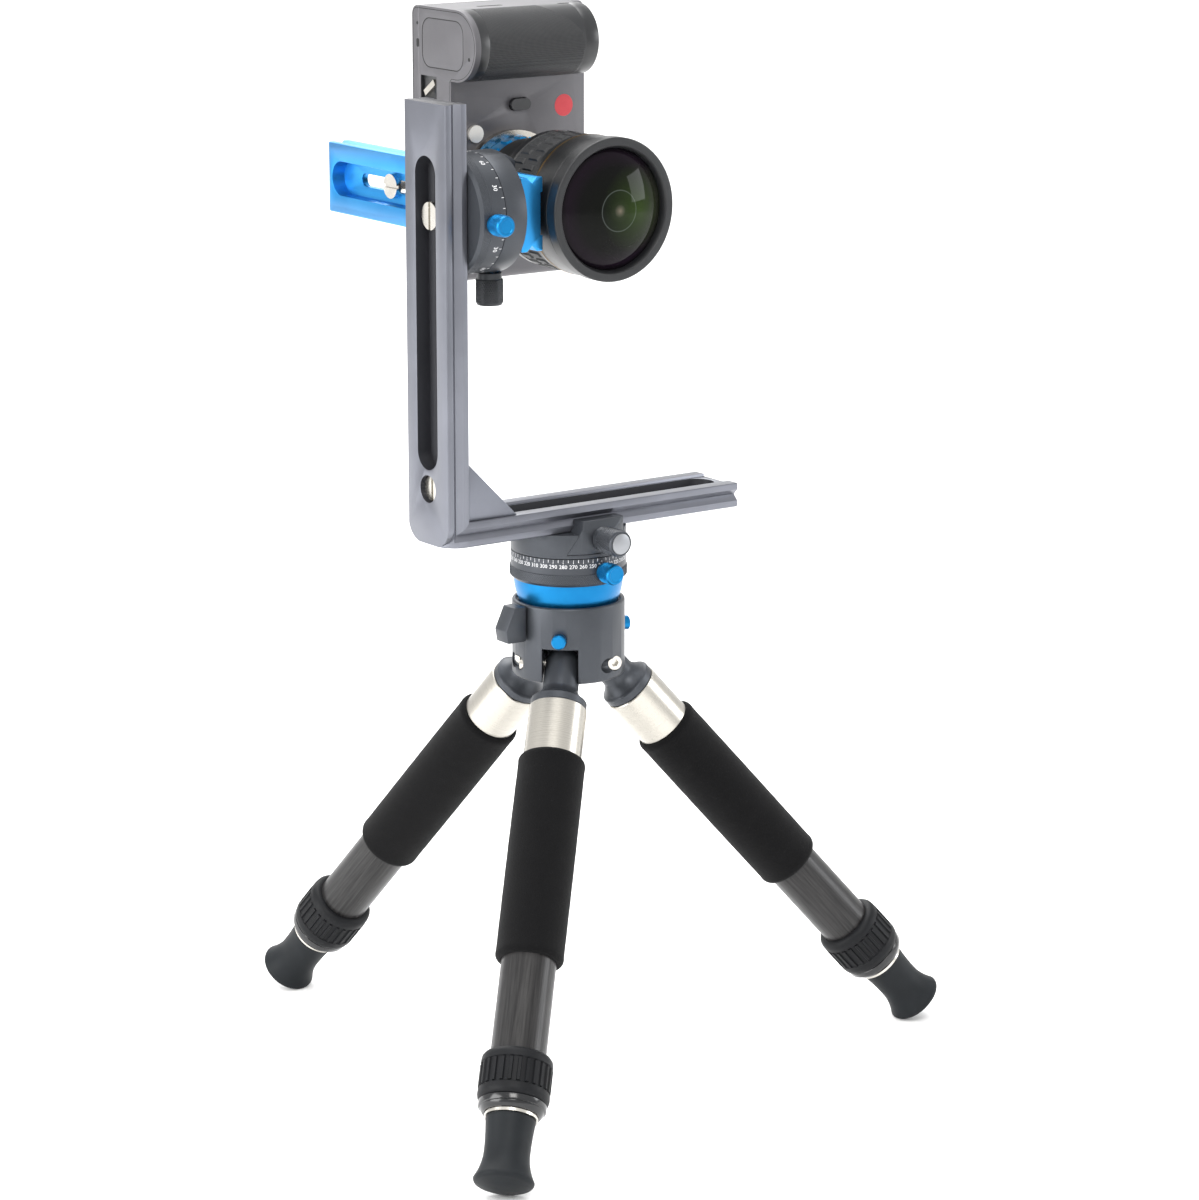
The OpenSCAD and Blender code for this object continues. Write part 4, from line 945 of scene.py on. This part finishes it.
class MakeLens(bpy.types.Operator):
    """Lens: barrel with its steps, rubber focus ring, gold line, adapter with notches, and glasses."""
    bl_idname = "panorama.lens"
    bl_label = "Lens"

    def execute(self, context):
        place = lens_frame()
        front, back = -low("lens_barrel").y, -high("lens_barrel").y
        ring0, ring1 = -high("focus_ring").y, -low("focus_ring").y
        rim_r, ring_r, glass_r, adapter_r = (half_width(node) for node in (
            "lens_barrel", "focus_ring", "lens_elements", "lens_adapter"))
        body, bore, throat, glass_depth = "camera", 25.3, 32.8, 6.8
        barrel = [(bore, back), (adapter_r - 0.6, back)]
        barrel += offset(adapter_r, back, (1.4, 0.6), (1.6, 3.4), (3.6, 5.4), (4.0, 9.0))
        barrel += offset(ring_r, back, (-0.9, 10.6), (-0.6, 11.2))
        barrel += offset(ring_r, ring0, (-0.6, -0.9), (-1.2, -0.3))
        barrel += [(throat, ring0 - 0.3), (throat, ring1 + 0.3)]
        barrel += offset(ring_r, ring1, (-0.9, 0.3), (-0.2, 0.8), (-0.2, 2.6), (0.2, 3.2))
        barrel += offset(rim_r, ring1, (-1.1, 4.4), (-0.7, 5.2))
        barrel += offset(rim_r, front, (-0.7, -9.0), (-1.0, -8.8), (-1.0, -8.2), (-0.4, -8.0), (0, -7.4),
                         (0, -1.0))
        turned("barrel_tube", barrel, place, body, "lens_black", "lens_barrel", "lens_elements", turns=144,
               degrees=30)
        rim = [(rim_r, front - 1.0)] + fillet(rim_r - 0.9, front - 0.9, 0.9, 0, 90, 5)
        rim += offset(glass_r, front, (1.7, 0), (1.3, -0.4), (0.5, -1.9), (0.1, -4.0), (0.1, -7.0))
        rim.append((0, front - 7.0))
        turned("lens_rim", rim, place, body, "lens_rim", turns=144, degrees=25)
        dome, steps = 60.0, 20
        edge = math.sqrt(dome ** 2 - glass_r ** 2)
        glass = [(0, front - glass_depth), (glass_r, front - glass_depth)]
        for r in (glass_r * (1 - i / steps) for i in range(steps + 1)):
            glass.append((r, front - 4 + math.sqrt(dome ** 2 - r ** 2) - edge))
        turned("front_glass", glass, place, body, "front_glass", turns=144, degrees=50)
        gold = offset(rim_r, ring1, (-0.75, 6.2), (-0.6, 6.25), (-0.6, 6.45), (-0.75, 6.5))
        turned("gold_line", gold, place, body, "gold", turns=128, closed=True)
        self.focus(place, ring0, ring1, ring_r)
        self.adapter(place, adapter_r, body)
        return {"FINISHED"}

    def focus(self, place, start, end, r):
        """Focus ring: a smooth sleeve with two rows of long ribs."""
        bore = 33.1
        sleeve = [(bore, start)] + offset(r, start, (-1.1, 0), (-0.8, 0.4))
        sleeve += offset(r, end, (-0.8, -0.4), (-1.1, 0)) + [(bore, end)]
        turned("focus_sleeve", sleeve, place, "focus", "lens_rubber", "focus_ring", turns=128, closed=True)
        for row, (a, b) in enumerate(((start + 1.2, start + 9.2), (start + 11.0, end - 1.4))):
            ribs(f"focus_ribs_{row}", block(-1.0, 0.0, -1.9, 1.9, a, b, 0.7), place, "focus",
                 "lens_rubber", 36, r - 0.02, start=row * 5)

    def adapter(self, place, r, body):
        """Adapter: notched blue ring next to the camera and a black ring before it."""
        a, b = -high("lens_adapter").y, -low("lens_adapter").y
        r -= 0.9
        blue = offset(r, a, (-3, 0), (-0.6, 0), (-0.3, 0.3), (-0.3, 9.8), (-0.8, 10.3), (-3, 10.3))
        turned("adapter_ring", blue, place, body, "blue", "lens_adapter", closed=True)
        ribs("adapter_notches", block(-0.6, 0.8, -2.1, 2.1, a + 2.4, a + 8.4, 0.5), place, body, "blue", 20, r)
        black = offset(r, a, (-3, 10.3), (-0.2, 10.3), (0.5, 11.0)) + offset(r, b, (0.5, -0.6), (0, 0), (-3, 0))
        turned("adapter_sleeve", black, place, body, "lens_black", closed=True)


class MakeCamera(bpy.types.Operator):
    """Camera body with broken edges, its seams, battery door, side slots, controls and red dot."""
    bl_idname = "panorama.camera"
    bl_label = "Camera"

    def execute(self, context):
        for node, width in (("rear_shell", 0.6), ("viewfinder", 0.8), ("battery", 0.3), ("screen", 0.4)):
            softened(node, width, "battery_part" if node == "battery" else "camera",
                     "screen" if node == "screen" else "body")
        self.shell()
        self.base_marks()
        self.controls()
        across, above_rail = 38.4, 42.5
        dot = axes((across, self.front_plane(), mid("camera_rail").z + above_rail), X, Z, -Y)
        enamel = [(0, 0.02), (5.2, 0.12), (5.8, 0.06), (6.0, -0.2), (0, -0.2)]
        turned("red_dot", enamel, dot, "camera", "red", turns=64)
        return {"FINISHED"}

    def controls(self):
        """Buttons, direction pad, screen frame and eyepiece on the back, and the ribs of the mode dial."""
        rear, r = high("rear_shell").y, 2.6
        back = axes((0, rear, 0), -X, Z, Y)
        start, screen, middle = low("screen"), high("screen"), -mid("screen").x
        button = [(0, 0.35), (r - 0.8, 0.32), (r - 0.2, 0.15), (r, -0.3), (0, -0.3)]
        for name, across, up in (("play", -17, 8), ("menu", 17, 8), ("info", -17, 21)):
            spot = back @ Matrix.Translation((middle + across, screen.z + up, 0))
            turned(f"button_{name}", button, spot, "camera", "plastic", turns=40)
        pad = [(0, 0.1), (3.2, 0.1), (3.6, 0.35), (3.9, 0.38), (7.0, 0.38), (7.6, 0.1), (7.7, -0.4), (0, -0.4)]
        turned("direction_pad", pad, back @ Matrix.Translation((middle, screen.z + 16, 0)), "camera", "plastic",
               turns=64)
        bm = bmesh.new()
        outline = rounded_rect(start.x - 1.3, start.z - 1.3, screen.x + 1.3, screen.z + 1.3, 2.5)
        line_strip(bm, outline, 0.5, -0.02, 0.1)
        finished(mesh_piece("screen_frame", bm, axes((0, rear, 0), X, Z, Y)), "camera", "dark_band")
        dial, at = high("mode_dial"), mid("mode_dial")
        place = axes((dial.x - 4.6, at.y, at.z), Y, Z, X)
        ribs("dial_ribs", block(-0.3, 0.3, -0.32, 0.32, 0.4, 4.0, 0.15), place, "dial", "dark_band", 48,
             dial.y - at.y)
        eye = high("viewfinder")
        window = axes((eye.x - 6, eye.y - 4.9, mid("viewfinder").z), X, Z, Y)
        bm = bmesh.new()
        prism(bm, rounded_rect(-2.4, -7.2, 2.4, 7.2, 1.5), -0.2, 0.3)
        finished(mesh_piece("eyepiece_glass", bm, window), "camera", "screen")

    def front_plane(self):
        """Y of the camera's flat front plate."""
        return high("mount_ring").y - 3.0

    def shell(self):
        """Front shell whose grip is smooth black beside the rubber, with painted shade on the floor of the
        battery lever's pocket.
        """
        shell = softened("front_shell", 0.5, "camera", "body")
        # slot 1: the real smooth black band beside the rubber, and painted shade in the lever's pocket
        shell.data.materials.append(FINISHES["dark_band"])
        a, b = low("grip_cover"), high("grip_cover")
        base = low("battery").x + 3.4
        bm = bmesh.new()
        bm.from_mesh(shell.data)
        bmesh.ops.bisect_plane(bm, geom=bm.verts[:] + bm.edges[:] + bm.faces[:], plane_co=(base * MM, 0, 0),
                               plane_no=X)
        c, d = low("battery_lever"), high("battery_lever")
        for face in bm.faces:
            spot = face.calc_center_median() / MM
            beside = spot.x > base and spot.y < b.y + 1 and spot.z > a.z - 0.5 and abs(face.normal.x) < 0.5
            # painted shade: faces at the floor of the battery lever's pocket take the black paint
            lever_pocket_shade = c.y - 4 < spot.y < d.y + 4 and c.z - 3 < spot.z < d.z + 3 and 0.2 < base - spot.x < 3
            if beside or lever_pocket_shade:
                face.material_index = 1
        bm.to_mesh(shell.data)
        bm.free()

    def base_marks(self):
        """Seam, battery door outline, screws and slot on the base plate."""
        a, b = low("battery"), high("battery")
        bm = bmesh.new()
        hand, hand_y = mid("grip_cover").z, high("grip_cover").y
        r = high("grip_cover").z - hand - 1.3
        back, front = high("rear_shell").y - 1.3, self.front_plane() + 1.3
        bottom, top = low("front_shell").z + 1.3, hand + r
        turn = 3.7
        outline = fillet(back - turn, bottom + turn, turn, -90, 0)
        outline += fillet(back - turn, top - turn, turn, 0, 90)
        outline += fillet(hand_y, hand, r, 90, 270, 28) + [(front - 2, hand - r), (front, hand - r - 2)]
        outline += fillet(front + turn, bottom + turn, turn, 180, 270)
        line_strip(bm, outline, 0.32, -0.03, 0.2)
        door = rounded_rect(a.y - 0.15, a.z - 0.15, b.y + 0.15, b.z + 0.15, 7.1)
        line_strip(bm, door, 0.45, -0.02, 0.2)
        for y, z, size in ((back - 4.2, hand + 9.4, 0.9), (hand_y - r + 5.2, hand - 6.0, 1.0)):
            prism(bm, fillet(y, z, size, 0, 337.5, 15), -0.03, 0.2)
        prism(bm, rounded_rect(back - 5.6, hand - 3.2, back - 3.2, hand + 1.4, 1.1), -0.03, 0.2)
        finished(mesh_piece("base_marks", bm, axes((a.x, 0, 0), Y, Z, X)), "camera", "baffle")
        side = axes((0, 0, high("front_shell").z), X, Y, Z)
        bm = bmesh.new()
        prism(bm, rounded_rect(-13, 62, 2.5, 65.5, 1.2), -0.3, 0.03)
        prism(bm, rounded_rect(31, 52, 38, 55, 1.2), -0.3, 0.03)
        finished(mesh_piece("side_slots", bm, side), "camera", "baffle")


class MakeBracket(bpy.types.Operator):
    """Rails and corner block with broken edges, and the machined faces of the rotators."""
    bl_idname = "panorama.bracket"
    bl_label = "Bracket"

    def execute(self, context):
        for node, body, finish, width in (
                ("horizontal_rail", "bracket", "rail_flat", 0.25), ("vertical_rail", "bracket", "rail", 0.25),
                ("corner_block", "bracket", "block", 0.35), ("camera_rail", "camera", "blue_rail", 0.25),
                ("pan_clamp", "pan", "grey", 0.3), ("tilt_clamp", "tilt", "grey", 0.3),
                ("pan_jaw", "pan_jaw_part", "grey", 0.3), ("tilt_jaw", "tilt_jaw_part", "grey", 0.3),
                ("hub_housing", "hub", "grey", 0.35), ("brake_lever", "brake", "grey", 1.1)):
            piece = softened(node, width, body, finish)
            # painted shade inside the rails' slots
            if node == "vertical_rail":
                self.paint_slot_shade(piece, 0, low(node).x, high(node).x)
            if node == "horizontal_rail":
                self.paint_slot_shade(piece, 2, low(node).z, high(node).z)
        return {"FINISHED"}

    def paint_slot_shade(self, rail, depth, start, end):
        """Gives the walls inside a rail's slot a dark finish that is painted shade; the walls are the rail's
        own metal.
        """
        rail.data.materials.append(FINISHES["slot"])
        half_slot = 9.4
        # painted shade: faces inside the slot take the dark slot finish
        for face in rail.data.polygons:
            spot = face.center / MM
            if abs(spot.y) < half_slot and start + 0.3 < spot[depth] < end - 1.5:
                face.material_index = 1


class PanoramaPanel(bpy.types.Panel):
    """Buttons that make each piece again."""
    bl_idname = "VIEW3D_PT_panorama"
    bl_label = "Panorama camera"
    bl_space_type = "VIEW_3D"
    bl_region_type = "UI"
    bl_category = "Panorama"

    def draw(self, context):
        for maker in MAKERS:
            self.layout.operator(maker.bl_idname)


MAKERS = (MakeStage, PaintFrame, MakeLegs, MakeRotators, MakeKnobs, MakeLens, MakeCamera, MakeBracket)
CLASSES = (PanoramaColours, TripodSizes, CameraSizes) + MAKERS + (PanoramaPanel,)


def register():
    for cls in CLASSES:
        bpy.utils.register_class(cls)
    bpy.types.Scene.panorama_colours = PointerProperty(type=PanoramaColours)
    bpy.types.Scene.panorama_tripod = PointerProperty(type=TripodSizes)
    bpy.types.Scene.panorama_camera = PointerProperty(type=CameraSizes)


def unregister():
    for name in ("panorama_camera", "panorama_tripod", "panorama_colours"):
        delattr(bpy.types.Scene, name)
    for cls in reversed(CLASSES):
        bpy.utils.unregister_class(cls)


def main():
    register()
    for maker in MAKERS:
        group, action = maker.bl_idname.split(".")
        getattr(getattr(bpy.ops, group), action)()


if __name__ == "__main__":
    main()
